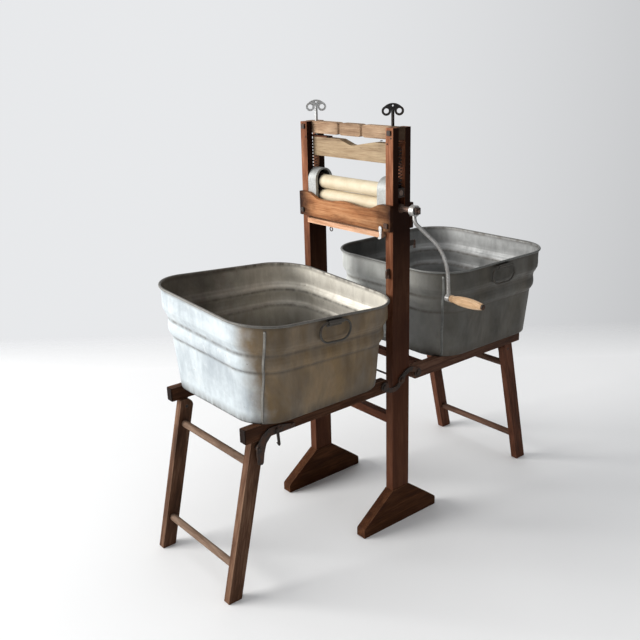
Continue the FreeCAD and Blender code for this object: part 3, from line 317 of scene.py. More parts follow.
def iron(name, base, rust, light, amount=0.5, metallic=0.55, rough=(0.45, 0.75), edge=0.5):
    """Cast or forged iron with rust bloom and rubbed edges."""
    s = Shader(name)
    broad = s.noise(s.place, 28, 6, 0.65, 0.3)
    fine = s.noise(s.place, 240, 5, 0.7)
    colour = s.ramp(fine, [(0.3, times(base, 0.55)), (0.6, base)])
    bloom = s.span(s.maths("ADD", s.maths("MULTIPLY", broad, 0.7), s.maths("MULTIPLY", fine, 0.3)),
                   0.47, 0.62, 0, amount)
    colour = s.mix(bloom, colour, rust)
    colour = s.mix(s.maths("MULTIPLY", s.worn(0.0015), edge), colour, light)
    s.bump(fine, 0.4, 0.0006)
    return s.finish(colour, s.span(fine, 0.3, 0.7, *rough), metallic)


def rubber(name):
    """Old cream rubber with faint turned rings and handling marks."""
    s = Shader(name)
    stain = s.noise(s.place, 30, 6, 0.6, 0.4)
    rings = s.noise(s.mapped((1, 0.02, 0.02)), 600, 2, 0.5)
    colour = s.ramp(stain, [(0.3, (0.60, 0.50, 0.34)), (0.5, (0.66, 0.57, 0.41)), (0.7, (0.70, 0.61, 0.455))])
    colour = s.mix(s.span(rings, 0.5, 0.8, 0, 0.18), colour, (0.55, 0.42, 0.25))
    s.bump(rings, 0.2, 0.0004)
    return s.finish(colour, s.span(stain, 0.3, 0.7, 0.5, 0.66), 0.0, 0.35)


LEG_SPLAY = math.radians(12.9)
LOOKS = {
    # the posts carry painted shade, darker lower down and on their faces along X
    "post": wood("post_wood", (0.112, 0.033, 0.014), (0.230, 0.084, 0.040), (0.430, 0.205, 0.115), "Z",
                 stain=0.7, edge=(0.46, 0.22, 0.11), edge_amount=0.5, painted_shade=(1.14, 0.62, 0.85)),
    "foot": wood("foot_wood", (0.026, 0.008, 0.003), (0.050, 0.016, 0.005), (0.100, 0.040, 0.017), "Y",
                 stain=0.5, edge=(0.30, 0.15, 0.08), edge_amount=0.8, rough=(0.5, 0.75), shift=1.3),
    "brace": wood("brace_wood", (0.040, 0.011, 0.005), (0.090, 0.029, 0.013), (0.17, 0.070, 0.036), "X",
                  stain=0.5, edge=(0.28, 0.14, 0.08), shift=2.1),
    "beam": wood("beam_wood", (0.165, 0.088, 0.050), (0.39, 0.255, 0.160), (0.64, 0.46, 0.31), "X",
                 stain=0.55, edge=(0.12, 0.06, 0.03), edge_amount=0.8, rough=(0.55, 0.8), grain=0.8,
                 shift=0.4, ends=("X", 0.164, 0.200, 0.88)),
    "bar": wood("bar_wood", (0.180, 0.118, 0.070), (0.33, 0.235, 0.145), (0.46, 0.35, 0.225), "X",
                stain=0.3, edge=(0.12, 0.07, 0.04), edge_amount=0.7, rough=(0.6, 0.85), grain=0.9, shift=3.3,
                ends=("X", 0.152, 0.178, 0.6)),
    "apron": wood("apron_wood", (0.130, 0.040, 0.015), (0.36, 0.150, 0.060), (0.56, 0.29, 0.140), "X",
                  stain=0.65, edge=(0.12, 0.045, 0.02), edge_amount=0.6, rough=(0.30, 0.5), grain=0.7,
                  shift=4.7, ends=("X", 0.125, 0.200, 1.0)),
    "drip": wood("drip_wood", (0.28, 0.125, 0.065), (0.60, 0.320, 0.185), (0.82, 0.53, 0.36), "X",
                 stain=0.4, edge=(0.80, 0.54, 0.37), edge_amount=0.8, shift=6.1),
    "near_rail": wood("near_rail_wood", (0.026, 0.009, 0.004), (0.056, 0.021, 0.009), (0.120, 0.055, 0.030),
                      "Y", stain=0.5, edge=(0.27, 0.16, 0.10), edge_amount=0.7, shift=7.2,
                      ends=("Y", 0.570, 0.574, 0.92)),
    "far_rail": wood("far_rail_wood", (0.040, 0.017, 0.010), (0.090, 0.042, 0.026), (0.165, 0.088, 0.058),
                     "Y", stain=0.5, edge=(0.26, 0.16, 0.11), edge_amount=0.5, shift=8.4),
    "near_leg": wood("near_leg_wood", (0.046, 0.020, 0.010), (0.100, 0.047, 0.026), (0.205, 0.118, 0.074),
                     "Z", tilt=LEG_SPLAY, stain=0.5, edge=(0.36, 0.25, 0.17), shift=9.5),
    "far_leg": wood("far_leg_wood", (0.032, 0.010, 0.005), (0.080, 0.028, 0.014), (0.155, 0.062, 0.036), "Z",
                    tilt=-LEG_SPLAY, stain=0.5, edge=(0.26, 0.14, 0.09), shift=10.6),
    "crossbar": wood("crossbar_wood", (0.030, 0.010, 0.006), (0.075, 0.027, 0.015), (0.14, 0.060, 0.036), "X",
                     stain=0.5, edge=(0.22, 0.12, 0.08), shift=11.8),
    "near_rung": wood("near_rung_wood", (0.085, 0.050, 0.032), (0.165, 0.105, 0.072), (0.27, 0.19, 0.14),
                      "X", stain=0.5, edge=None, rough=(0.5, 0.75), shift=12.9),
    "far_rung": wood("far_rung_wood", (0.035, 0.016, 0.010), (0.080, 0.040, 0.026), (0.15, 0.085, 0.058), "X",
                     stain=0.5, edge=None, shift=13.7),
    "grip": wood("grip_wood", (0.34, 0.19, 0.10), (0.58, 0.38, 0.22), (0.76, 0.56, 0.38), "X", stain=0.35,
                 edge=None, rough=(0.35, 0.55), grain=1.1, shift=15.1),
    "roll": rubber("roll_rubber"),
    "iron": iron("dark_iron", (0.042, 0.032, 0.027), (0.115, 0.045, 0.020), (0.22, 0.19, 0.17), 0.75),
    "black": iron("black_iron", (0.030, 0.028, 0.027), (0.060, 0.035, 0.022), (0.25, 0.24, 0.23), 0.4),
    "steel": iron("shaft_steel", (0.26, 0.20, 0.17), (0.20, 0.085, 0.045), (0.5, 0.46, 0.42), 0.8, 0.6),
    "crank": iron("crank_steel", (0.58, 0.57, 0.55), (0.22, 0.17, 0.13), (0.80, 0.80, 0.79), 0.35, 0.55,
                  (0.3, 0.5)),
    "bright": iron("bright_zinc", (0.62, 0.63, 0.63), (0.34, 0.31, 0.28), (0.85, 0.85, 0.85), 0.35, 0.6,
                   (0.3, 0.5)),
    "guard": iron("guard_zinc", (0.42, 0.43, 0.42), (0.25, 0.235, 0.21), (0.60, 0.61, 0.60), 0.5, 0.30,
                  (0.45, 0.65)),
}


def paint(look, *names):
    """Give CAD nodes one material."""
    for name in names:
        data = nodes[name].data
        data.materials.clear()
        data.materials.append(LOOKS[look])


def soften(width, *names):
    """Round the sharp edges of CAD nodes, with modifiers only."""
    for name in names:
        thing = nodes[name]
        weld = thing.modifiers.new("weld", "WELD")
        weld.merge_threshold = 0.00002
        bevel = thing.modifiers.new("round", "BEVEL")
        bevel.width = width
        bevel.segments = 3
        bevel.limit_method = "ANGLE"
        bevel.angle_limit = math.radians(40)
        bevel.harden_normals = False
        thing.modifiers.new("shade", "WEIGHTED_NORMAL").keep_sharp = True


# ---------------------------------------------------------------- mesh helpers
def piece(name, mesh, body, look):
    """A new object on a body, with its material or materials."""
    thing = bpy.data.objects.new(name, mesh)
    bpy.context.scene.collection.objects.link(thing)
    looks = look if isinstance(look, (list, tuple)) else [look]
    for one in looks:
        mesh.materials.append(LOOKS[one])
    for face in mesh.polygons:
        face.use_smooth = True
    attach(thing, body)
    return thing


def tube(name, rows, flip=False):
    """A closed tube through rows of points, with a flat face at each end; flip turns it inside out."""
    wide = len(rows[0])
    last = (len(rows) - 1) * wide
    faces = []
    for row in range(0, last, wide):
        for k in range(wide):
            nxt = (k + 1) % wide
            near, near_next, far_next, far = row + k, row + nxt, row + wide + nxt, row + wide + k
            faces.append((near, far, far_next, near_next) if flip else (near, near_next, far_next, far))
    first_end, last_end = tuple(range(wide)), tuple(range(last, last + wide))
    faces.append(first_end if flip else tuple(reversed(first_end)))
    faces.append(tuple(reversed(last_end)) if flip else last_end)
    mesh = bpy.data.meshes.new(name)
    mesh.from_pydata([tuple(point) for row in rows for point in row], [], faces)
    return mesh


def turned(name, start, axis, profile, steps):
    """A lathe mesh: profile is (distance along the axis, radius), in metres, and steps are round it."""
    axis = axis.normalized()
    side = axis.orthogonal().normalized()
    other = axis.cross(side)
    angles = [2 * math.pi * k / steps for k in range(steps)]
    rows = [[start + axis * along + (side * math.cos(angle) + other * math.sin(angle)) * radius
             for angle in angles] for along, radius in profile]
    mesh = tube(name, rows)
    mesh.validate()
    return mesh


def spun(points, per_span=6):
    """More points on a smooth curve through the given (along, radius) pairs."""
    out = []
    for i in range(len(points) - 1):
        before = points[max(i - 1, 0)]
        first, second = points[i], points[i + 1]
        after = points[min(i + 2, len(points) - 1)]
        for k in range(per_span):
            t = k / per_span
            row = []
            for p0, p1, p2, p3 in zip(before, first, second, after):
                row.append(0.5 * (2 * p1 + (p2 - p0) * t + (2 * p0 - 5 * p1 + 4 * p2 - p3) * t * t
                                  + (3 * p1 - p0 - 3 * p2 + p3) * t ** 3))
            out.append(tuple(row))
    out.append(tuple(points[-1]))
    return out


# ---------------------------------------------------------------- tubs
TUB_SHEET = 0.0016
WALL_HALF = 0.268
WALL_CORNER = 0.119
BOTTOM_LEVEL = 0.0096
FOOT_LEVEL = 0.008
RIM_WIRE = 0.0034
RIM_OUT = 0.0026
DENT_COUNT = 26
AROUND = 256
# (height above the foot, half width) of the wall
PROFILE = [(0, 0.235), (0.06, 0.2402), (0.12, 0.2455), (0.143, 0.2470), (0.149, 0.2482), (0.156, 0.2536),
           (0.164, 0.2568), (0.174, 0.2575), (0.184, 0.2567), (0.192, 0.2556), (0.200, 0.2562),
           (0.208, 0.2585), (0.216, 0.2632), (0.226, 0.2672), (0.236, 0.2678), (0.252, 0.2674),
           (0.287, 0.2680)]
# steps around the wall per metre of height, for each of a tub's two seams
SEAM_SLANT = {"near": (12.7, 0), "far": (0, 0)}
SEAM_WIDTH = 0.62
# (across, outwards) of a seam's section; across is scaled by SEAM_WIDTH
SEAM_SECTION = [(-0.0075, -0.0008), (-0.0068, 0.0009), (-0.001, 0.0012), (0.0004, 0.0026), (0.0028, 0.0030),
                (0.0048, 0.0022), (0.0052, -0.0008)]


def wall_half(z):
    """The wall's half width at a height above the tub's foot, smoothed between the profile's points."""
    for (z0, h0), (z1, h1) in zip(PROFILE, PROFILE[1:]):
        if z <= z1:
            t = (z - z0) / (z1 - z0)
            t = t * t * (3 - 2 * t) if z0 > 0.12 else t
            return h0 + (h1 - h0) * t
    return PROFILE[-1][1]


def wall_corner(half):
    """The corner radius where the wall is this wide."""
    return WALL_CORNER - (WALL_HALF - half) * 0.6


def around(half, corner, k):
    """Point and outward direction number k of AROUND on a rounded square; 0 is mid +X side."""
    straight = half - corner
    quarter = corner * math.pi / 2
    total = 8 * straight + 4 * quarter
    run = (k / AROUND) * total
    turn = 0
    side = 2 * straight + quarter
    while run >= side:
        run -= side
        turn += 1
    if run < straight:
        point, out = Vector((half, run, 0)), Vector((1, 0, 0))
    elif run < straight + quarter:
        angle = (run - straight) / corner
        out = Vector((math.cos(angle), math.sin(angle), 0))
        point = Vector((straight, straight, 0)) + out * corner
    else:
        point, out = Vector((2 * straight + quarter - run, half, 0)), Vector((0, 1, 0))
    spin = Matrix.Rotation(turn * math.pi / 2, 3, "Z")
    return spin @ point, spin @ out


class Tub:
    """One wash tub: where it stands and how it has been bent in use."""

    def __init__(self, name, lean, dents, seed):
        low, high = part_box(name + "_tub")
        self.foot = Vector(((low.x + high.x) / 2, (low.y + high.y) / 2, low.z))
        self.lean = lean
        local = random.Random(seed)
        self.dents = [(local.uniform(0, 2 * math.pi), local.uniform(0.05, 0.24), local.uniform(0.03, 0.07),
                       local.uniform(-1, 0.6) * dents) for _ in range(DENT_COUNT)]

    def tip(self, point):
        """A point moved as the bent wall leans at its height."""
        share = point.z / TUB_DEPTH
        turn = (Matrix.Rotation(math.radians(self.lean[1] * share), 3, "Y")
                @ Matrix.Rotation(math.radians(self.lean[0] * share), 3, "X"))
        return turn @ Vector((point.x, point.y, 0)) + Vector((0, 0, point.z))

    def bend(self, point, out):
        """Shallow dents on a leaning wall."""
        angle = math.atan2(point.y, point.x)
        push = 0.0
        for at, level, reach, deep in self.dents:
            away = (angle - at + math.pi) % (2 * math.pi) - math.pi
            gap = ((away * 0.26) ** 2 + (point.z - level) ** 2) / reach ** 2
            push += deep * math.exp(-gap)
        fade = min(1.0, point.z / 0.06) * min(1.0, (TUB_DEPTH - point.z) / 0.03)
        return self.tip(point + out * push * fade)

    def rings(self, inset, levels):
        """Rows of bent points at each level, in the frame."""
        rows = []
        for z in levels:
            half = wall_half(z) - inset
            corner = wall_corner(wall_half(z)) - inset
            row = []
            for k in range(AROUND):
                point, out = around(half, corner, k)
                row.append(self.foot + self.bend(point + Vector((0, 0, z)), out))
            rows.append(row)
        return rows


def tub_levels():
    """Heights of the wall's rows: close together over the ribs."""
    levels = [0, 0.004, 0.008]
    z = 0.02
    while z < 0.138:
        levels.append(z)
        z += 0.014
    while z < 0.242:
        levels.append(z)
        z += 0.0026
    return levels + [0.248, 0.256, 0.264, 0.272, 0.279, 0.2855]


def skin(name, rows, flip=False):
    """A closed band of quads through rows of points."""
    verts = [tuple(p) for row in rows for p in row]
    faces = []
    for r in range(len(rows) - 1):
        for k in range(AROUND):
            nxt = (k + 1) % AROUND
            quad = (r * AROUND + k, r * AROUND + nxt, (r + 1) * AROUND + nxt, (r + 1) * AROUND + k)
            faces.append(tuple(reversed(quad)) if flip else quad)
    mesh = bpy.data.meshes.new(name)
    mesh.from_pydata(verts, [], faces)
    return mesh


def make_tub(name, lean, dents, seed):
    """A tub's wall with its sunk bottom, its rolled rim and its two corner seams, each a closed mesh."""
    tub = Tub(name, lean, dents, seed)
    levels = tub_levels()
    outer = tub.rings(0, levels)
    inner = tub.rings(TUB_SHEET, [z for z in levels if z >= FOOT_LEVEL])
    rows = outer + list(reversed(inner))
    floor_half = wall_half(BOTTOM_LEVEL) - TUB_SHEET
    for shrink, drop in ((0.003, 0.0002), (0.010, 0.0008), (0.05, 0.0), (0.12, -0.0015), (0.20, 0.001)):
        row = []
        for k in range(AROUND):
            corner = max(0.02, wall_corner(floor_half) - TUB_SHEET - shrink)
            point, _ = around(floor_half - shrink, corner, k)
            row.append(tub.foot + point + Vector((0, 0, BOTTOM_LEVEL - drop)))
        rows.append(row)
    shell = skin(name + "_wall", rows)
    count = len(shell.vertices)
    bm = bmesh.new()
    bm.from_mesh(shell)
    bm.verts.ensure_lookup_table()
    bm.faces.new([bm.verts[count - AROUND + k] for k in range(AROUND)])
    under = [bm.verts.new(tub.foot + around(floor_half + 0.0002, wall_corner(floor_half), k)[0]
                          + Vector((0, 0, FOOT_LEVEL))) for k in range(AROUND)]
    bm.faces.new(list(reversed(under)))
    bm.verts.ensure_lookup_table()
    for k in range(AROUND):
        nxt = (k + 1) % AROUND
        bm.faces.new((bm.verts[k], under[k], under[nxt], bm.verts[nxt]))
    bm.to_mesh(shell)
    bm.free()
    looks = [name + "_outer", name + "_inner"]
    wall = piece(name + "_wall", shell, name + "_basin", looks)
    first_inner = (len(outer) - 1) * AROUND
    for index, face in enumerate(shell.polygons):
        face.material_index = 1 if first_inner <= index < (len(rows) - 1) * AROUND + 1 else 0

    rim_rows = []
    for step in range(12):
        angle = 2 * math.pi * step / 12
        rim_row = []
        for k in range(AROUND):
            point, out = around(WALL_HALF + RIM_OUT, WALL_CORNER + RIM_OUT, k)
            at = point + Vector((0, 0, TUB_DEPTH - RIM_WIRE))
            at += out * RIM_WIRE * math.cos(angle) + Vector((0, 0, RIM_WIRE * math.sin(angle)))
            rim_row.append(tub.foot + tub.bend(at, out))
        rim_rows.append(rim_row)
    rim_rows.append(rim_rows[0])
    rim_mesh = skin(name + "_rim", rim_rows, flip=True)
    piece(name + "_rim", rim_mesh, name + "_basin", name + "_seam")
    weld(rim_mesh)

    for number, corner_index in enumerate((AROUND * 7 // 8, AROUND * 3 // 8)):
        make_seam(tub, name, number, corner_index)
    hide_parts(name + "_tub")
    return tub


def weld(mesh):
    """Join points that lie together."""
    bm = bmesh.new()
    bm.from_mesh(mesh)
    bmesh.ops.remove_doubles(bm, verts=bm.verts, dist=0.00001)
    bmesh.ops.recalc_face_normals(bm, faces=bm.faces)
    bm.to_mesh(mesh)
    bm.free()


def make_seam(tub, name, number, index):
    """A folded vertical seam up one corner: a flat strip with a rolled lip along it."""
    rows = []
    for z in [z for z in tub_levels() if 0.002 < z < 0.279]:
        half = wall_half(z)
        point, out = around(half, wall_corner(half), index + SEAM_SLANT[name][number] * z)
        along = Vector((-out.y, out.x, 0))
        wander = 0.0008 * math.sin(z * 60 + number)
        row = []
        for across, proud in SEAM_SECTION:
            at = point + along * (across * SEAM_WIDTH + wander) + out * (proud - 0.0001) + Vector((0, 0, z))
            row.append(tub.foot + tub.bend(at, out))
        rows.append(row)
    mesh = tube(f"{name}_seam_{number}", rows)
    piece(f"{name}_seam_{number}", mesh, name + "_basin", name + "_seam")


def tub_looks(name, lean, outside, stain_and_shade_side, stain, inside, inside_stain_and_shade, trim):
    """The metal of one tub: its outside, its inside, and its rim and seams.

    outside and inside are (pale, grey, blotch, oxide) tones; stain_and_shade_side is as galvanised() takes
    it, and stain and inside_stain_and_shade are the colours of its stain with painted shade.
    """
    low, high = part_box(name + "_tub")
    tub = ((low.x + high.x) / 2, (low.y + high.y) / 2, low.z, *lean)
    LOOKS[name + "_outer"] = galvanised(name + "_outer", *outside, stain_and_shade_side, stain, 0.98, tub)
    LOOKS[name + "_inner"] = galvanised(name + "_inner", *inside, INSIDE_STAIN_AND_SHADE, inside_stain_and_shade, 0.92, tub,
                                        deep_shade_amount=0.94)
    LOOKS[name + "_seam"] = iron(name + "_seam", trim, times(trim, 0.45), times(trim, 1.4), amount=0.7,
                                 metallic=0.4, rough=(0.4, 0.6))


# degrees about X and about Y at the rim
NEAR_LEAN, FAR_LEAN = (-4.0, 3.1), (0.0, 0.0)
# inside, the walls whose faces turn away from the window get brown scale with painted shade
INSIDE_STAIN_AND_SHADE = (-0.8, -0.6, 0.09, 0.25)
# outside, each tub's +X side gets a brown stain with painted shade; on the far tub it is mostly painted shade
tub_looks("near", NEAR_LEAN,
          outside=((0.51, 0.56, 0.585), (0.34, 0.38, 0.41), (0.60, 0.62, 0.62), (0.68, 0.70, 0.70)),
          stain_and_shade_side=(1, 0, 0.178, 0.225), stain=(0.165, 0.107, 0.048),
          inside=((0.80, 0.76, 0.67), (0.58, 0.54, 0.46), (0.62, 0.56, 0.46), (0.80, 0.78, 0.72)),
          inside_stain_and_shade=(0.050, 0.040, 0.031), trim=(0.21, 0.20, 0.18))
tub_looks("far", FAR_LEAN,
          outside=((0.52, 0.53, 0.51), (0.38, 0.39, 0.37), (0.50, 0.49, 0.46), (0.56, 0.56, 0.54)),
          stain_and_shade_side=(1, 0, -0.12, 0.24), stain=(0.070, 0.062, 0.048),
          inside=((0.42, 0.425, 0.42), (0.25, 0.255, 0.25), (0.30, 0.295, 0.28), (0.44, 0.44, 0.43)),
          inside_stain_and_shade=(0.060, 0.060, 0.056), trim=(0.21, 0.212, 0.20))
TUBS = {"near": make_tub("near", NEAR_LEAN, dents=0.0016, seed=11),
        "far": make_tub("far", FAR_LEAN, dents=0.0012, seed=23)}


# ---------------------------------------------------------------- coil springs
SPRING_TURNS = 12
SPRING_WIRE = 0.0015
ROLLER_RISE = 0.006


def make_spring(side):
    """A coil spring, with room above it for the bearing to rise."""
    low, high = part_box(f"spring_{side}")
    axis = (low + high) / 2
    radius = (high.x - low.x) / 2 - SPRING_WIRE
    bottom, top = low.z + SPRING_WIRE, high.z - SPRING_WIRE - ROLLER_RISE
    steps = SPRING_TURNS * 24
    turns = [2 * math.pi * k / 8 for k in range(8)]
    rows = []
    for step in range(steps + 1):
        share = step / steps
        angle = 2 * math.pi * SPRING_TURNS * share
        out = Vector((math.cos(angle), math.sin(angle), 0))
        centre = Vector((axis.x, axis.y, bottom + (top - bottom) * share)) + out * radius
        rows.append([centre + SPRING_WIRE * (out * math.cos(turn) + Vector((0, 0, math.sin(turn))))
                     for turn in turns])
    mesh = tube(f"coil_{side}", rows, flip=True)
    coil = piece(f"coil_{side}", mesh, "upper_carriage", "black")
    weld(mesh)
    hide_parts(f"spring_{side}")
    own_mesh(coil)


for side in ("left", "right"):
    make_spring(side)


# ---------------------------------------------------------------- CAD nodes and their finishes
paint("post", "post_left", "post_right")
paint("foot", "foot_left", "foot_right")
paint("brace", "lower_stretcher", "pressure_straps")
paint("beam", "top_rail")
paint("bar", "pressure_bar")
paint("apron", "apron_front", "apron_back")
paint("drip", "drip_board")
paint("crossbar", "near_crossbar", "far_crossbar")
for wing in ("near", "far"):
    paint(wing + "_rail", wing + "_rail_left", wing + "_rail_right")
    paint(wing + "_leg", wing + "_leg_left", wing + "_leg_right")
    paint(wing + "_rung", wing + "_rungs")
paint("iron", "hinge_bracket_left", "hinge_bracket_right", "tie_rod", "wing_pivot_pins", "wing_catches",
      "near_leg_irons", "far_leg_irons", "leg_latch", "screw_nuts", "lower_gears",
      "upper_gears", "lower_bearings", "upper_bearings", "drip_fittings", "frame_bolts", "crank_fasteners")
paint("black", "thumb_screw_right")
paint("bright", "thumb_screw_left", "drip_hook")
paint("steel", "crank_shaft", "upper_shaft")
paint("crank", "crank_arm")
paint("guard", "gear_guard_left", "gear_guard_right")
for tub in ("near", "far"):
    LOOKS[tub + "_fitting"] = iron(tub + "_fitting", (0.105, 0.098, 0.086), (0.080, 0.055, 0.040),
                                   (0.36, 0.35, 0.32), 0.6, 0.5)
    paint(tub + "_fitting", tub + "_tub_ears", tub + "_handle_left", tub + "_handle_right")

WOODEN = ["post_left", "post_right", "foot_left", "foot_right", "lower_stretcher", "top_rail", "pressure_bar",
          "apron_front", "apron_back", "drip_board", "near_crossbar", "far_crossbar"]
WOODEN += [f"{wing}_{kind}_{side}" for wing in ("near", "far") for kind in ("rail", "leg")
           for side in ("left", "right")]
soften(0.0018, *WOODEN)
soften(0.0009, "hinge_bracket_left", "hinge_bracket_right", "near_leg_irons", "far_leg_irons", "leg_latch",
       "thumb_screw_left", "thumb_screw_right", "frame_bolts", "tie_rod", "wing_catches", "crank_fasteners",
       "drip_hook", "pressure_straps")


# ---------------------------------------------------------------- rolls and grip
def make_roll(name, body):
    """A rubber sleeve with rounded ends and a slightly worn waist."""
    low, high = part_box(name)
    long = high.x - low.x
    radius = (high.z - low.z) / 2
    start = Vector((low.x, (low.y + high.y) / 2, (low.z + high.z) / 2))
    shape = [(0, 0.008), (0, radius - 0.004), (0.0012, radius - 0.0013), (0.004, radius - 0.0002)]
    for step in range(1, 16):
        t = step / 16
        shape.append((0.004 + (long - 0.008) * t, radius - 0.0002 - 0.0005 * math.sin(math.pi * t)))
    shape += [(long - 0.004, radius - 0.0002), (long - 0.0012, radius - 0.0013), (long, radius - 0.004),
              (long, 0.008)]
    mesh = turned(name + "_sleeve", start, Vector((1, 0, 0)), shape, 64)
    thing = piece(name + "_sleeve", mesh, body, "roll")
    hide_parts(name)


def make_grip():
    """The turned handle: a ferrule end, a full belly and a drawn-in tail."""
    low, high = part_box("crank_grip")
    start = Vector((low.x, (low.y + high.y) / 2, (low.z + high.z) / 2))
    long = high.x - low.x
    full = (high.z - low.z) / 2
    shape = [(0, 0.62), (0.02, 0.66), (0.05, 0.72), (0.075, 0.70), (0.095, 0.60), (0.12, 0.66), (0.2, 0.80),
             (0.34, 0.94), (0.5, 0.995), (0.66, 0.97), (0.8, 0.88), (0.9, 0.76), (0.96, 0.68), (1.0, 0.60)]
    smooth = spun([(along * long, radius * full) for along, radius in shape])
    profile = [(0.0, 0.0042)] + smooth + [(long, 0.0042)]
    mesh = turned("grip_turned", start, Vector((1, 0, 0)), profile, 56)
    thing = piece("grip_turned", mesh, "crank_handle", "grip")
    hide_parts("crank_grip")


make_roll("lower_roll", "lower_roller")
make_roll("upper_roll", "upper_roller")
make_grip()


# ---------------------------------------------------------------- small fasteners
def screw_head(name, at, axis, body, radius=0.0048, look="iron"):
    """A domed head, sunk slightly into what it holds."""
    shape = [(0, radius), (0.0006, radius * 0.98), (0.0014, radius * 0.82), (0.0020, radius * 0.5),
             (0.0022, 0.0002)]
    mesh = turned(name, at - axis.normalized() * 0.0004, axis, shape, 20)
    piece(name, mesh, body, look)


IRON_PROUD = 0.004
INNER_IRON_X = 0.1655


def make_iron_screws():
    """Screws that hold the leg irons and the hinge irons."""
    for wing, side in (("near", -1), ("far", 1)):
        body = wing + "_wing"
        irons_low, irons_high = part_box(wing + "_leg_irons")
        rail_low, rail_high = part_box(wing + "_rail_right")
        far_y = irons_low.y if side > 0 else irons_high.y
        for end in (-1, 1):
            inside = wing == "far" and end > 0
            outer_x = (rail_high.x - ORIGIN_X) + IRON_PROUD
            x = ORIGIN_X + end * (INNER_IRON_X if inside else outer_x)
            axis = Vector((-end if inside else end, 0, 0))
            for number, back in enumerate((0.010, 0.048)):
                up = (0.007 if inside else 0.013) + number * 0.004
                at = Vector((x, far_y + side * back, rail_low.z + up))
                screw_head(f"{wing}_iron_screw_{end + 1}_{number}", at, axis, body)
    level = middle("tie_rod").z
    for end, name in ((-1, "left"), (1, "right")):
        low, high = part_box("hinge_bracket_" + name)
        x = high.x if end > 0 else low.x
        for number, (dy, dz) in enumerate(((-0.019, -0.0135), (0.019, 0.0145))):
            at = Vector((x, ORIGIN_Y + dy, level + dz))
            screw_head(f"bracket_screw_{name}_{number}", at, Vector((end, 0, 0)), "frame", 0.0042)


def make_nails():
    """Nail heads in the posts beside the top rail and on the pressure bar's straps."""
    face = ORIGIN_Y - POST_HALF_Y
    for number, (x, z) in enumerate(((-181, 1194), (181, 1196), (-196, 1232), (196, 1212))):
        at = Vector((spot(x, 0, 0).x, face, z * MM))
        screw_head(f"post_nail_{number}", at, Vector((0, -1, 0)), "frame", 0.0026)
    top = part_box("pressure_straps")[1].z
    for number, x in enumerate((-122, -150, 122, 150)):
        at = Vector((spot(x, 0, 0).x, ORIGIN_Y, top))
        screw_head(f"strap_screw_{number}", at, Vector((0, 0, 1)), "pressure_beam", 0.004)


def make_ear_rivets():
    """Two rivets through each tub ear."""
    ear_out, ear_level, rivet_level = 0.2702, 0.271, 0.2625
    for name, tub in TUBS.items():
        for end in (-1, 1):
            for across in (-0.018, 0.018):
                seat = tub.tip(Vector((end * ear_out, across, ear_level)))
                at = tub.foot + seat + Vector((0, 0, rivet_level - ear_level))
                screw_head(f"{name}_ear_rivet_{end + 1}_{across > 0:d}", at, Vector((end, 0, 0)),
                           name + "_basin", 0.003, name + "_fitting")


make_iron_screws()
make_nails()
make_ear_rivets()


# ---------------------------------------------------------------- floor, light and camera
FLOOR_REACH = 14
# the direction away from the camera, and the metres that way over which the floor fades
BEHIND = (-0.777, 0.629)
FADE = (1.30, 1.80)
CAMERA_AT = (1852.2, -1647.0, 1453.2)
# axis, start, end and the light's strength at each, over the directions of the room
ROOM_RAMPS = (("X", -0.90, 0.25, 1.04, 0.10), ("Z", 0.40, 0.85, 0, 1.15))


def make_floor():
    """A wide pale floor that fades softly into the room behind the bench."""
    mesh = bpy.data.meshes.new("floor")
    corners = [(x * FLOOR_REACH, y * FLOOR_REACH, 0) for x, y in ((-1, -1), (1, -1), (1, 1), (-1, 1))]
    mesh.from_pydata(corners, [], [(0, 1, 2, 3)])
    floor = bpy.data.objects.new("floor", mesh)
    bpy.context.scene.collection.objects.link(floor)
    s = Shader("floor_paint")
    tone = s.noise(s.place, 1.3, 3, 0.5)
    paint_colour = s.ramp(tone, [(0.3, (0.87, 0.87, 0.87)), (0.7, (0.89, 0.89, 0.89))])
    behind = s.maths("ADD", s.maths("MULTIPLY", s.axis("X"), BEHIND[0]),
                     s.maths("MULTIPLY", s.axis("Y"), BEHIND[1]))
    s.feed(s.surface.inputs["Alpha"], s.span(behind, *FADE, 1, 0))
    mesh.materials.append(s.finish(paint_colour, 0.6, 0.0, 0.2))
    floor.location.z = -0.0004


def area(name, at, target, width, height, power, colour):
    """A soft box aimed at a point."""
    data = bpy.data.lights.new(name, "AREA")
    data.shape = "RECTANGLE"
    data.size = width
    data.size_y = height
    data.energy = power
    data.color = colour
    lamp = bpy.data.objects.new(name, data)
    lamp.location = at
    lamp.rotation_euler = (Vector(target) - Vector(at)).to_track_quat("-Z", "Y").to_euler()
    bpy.context.scene.collection.objects.link(lamp)


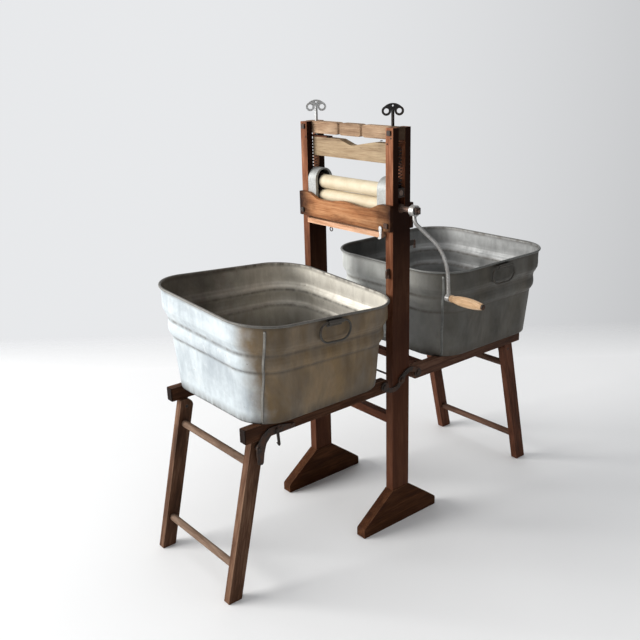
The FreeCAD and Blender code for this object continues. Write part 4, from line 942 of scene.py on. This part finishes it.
def make_light():
    """A big window at the front left, and a room that is bright above and on one side."""
    world = bpy.data.worlds.new("room")
    bpy.context.scene.world = world
    world.use_nodes = True
    tree = world.node_tree
    back = tree.nodes["Background"]
    direction = tree.nodes.new("ShaderNodeTexCoord").outputs["Generated"]
    split = tree.nodes.new("ShaderNodeSeparateXYZ")
    tree.links.new(direction, split.inputs[0])
    highest = tree.nodes.new("ShaderNodeMath")
    highest.operation = "MAXIMUM"
    for slot, (axis, start, end, low, high) in enumerate(ROOM_RAMPS):
        ramp = tree.nodes.new("ShaderNodeMapRange")
        ramp.interpolation_type = "SMOOTHSTEP"
        for key, number in (("From Min", start), ("From Max", end), ("To Min", low), ("To Max", high)):
            ramp.inputs[key].default_value = number
        tree.links.new(split.outputs[axis], ramp.inputs["Value"])
        tree.links.new(ramp.outputs["Result"], highest.inputs[slot])
    tree.links.new(highest.outputs[0], back.inputs["Strength"])
    back.inputs["Color"].default_value = (0.775, 0.785, 0.80, 1)
    area("window", (-4.3, -6.6, 3.0), (0, 0, 0.7), 5.0, 3.6, 830, (1.0, 0.99, 0.97))


def make_camera():
    """The camera at its fitted place, a little above the bench and towards the crank end."""
    azimuth, elevation, roll = math.radians(50.95), math.radians(18.27), math.radians(-1.62)
    back = Vector((math.sin(azimuth) * math.cos(elevation), -math.cos(azimuth) * math.cos(elevation),
                   math.sin(elevation)))
    level = Vector((math.cos(azimuth), math.sin(azimuth), 0))
    upright = back.cross(level)
    right = level * math.cos(roll) + upright * math.sin(roll)
    up = upright * math.cos(roll) - level * math.sin(roll)
    data = bpy.data.cameras.new("camera")
    data.sensor_width = 36
    data.lens = 46.31
    data.clip_end = 100
    camera = bpy.data.objects.new("camera", data)
    turn = Matrix((right, up, back)).transposed().to_4x4()
    camera.matrix_world = Matrix.Translation(spot(*CAMERA_AT)) @ turn
    bpy.context.scene.collection.objects.link(camera)
    bpy.context.scene.camera = camera


make_floor()
make_light()
make_camera()
bpy.context.scene.view_settings.view_transform = "Standard"
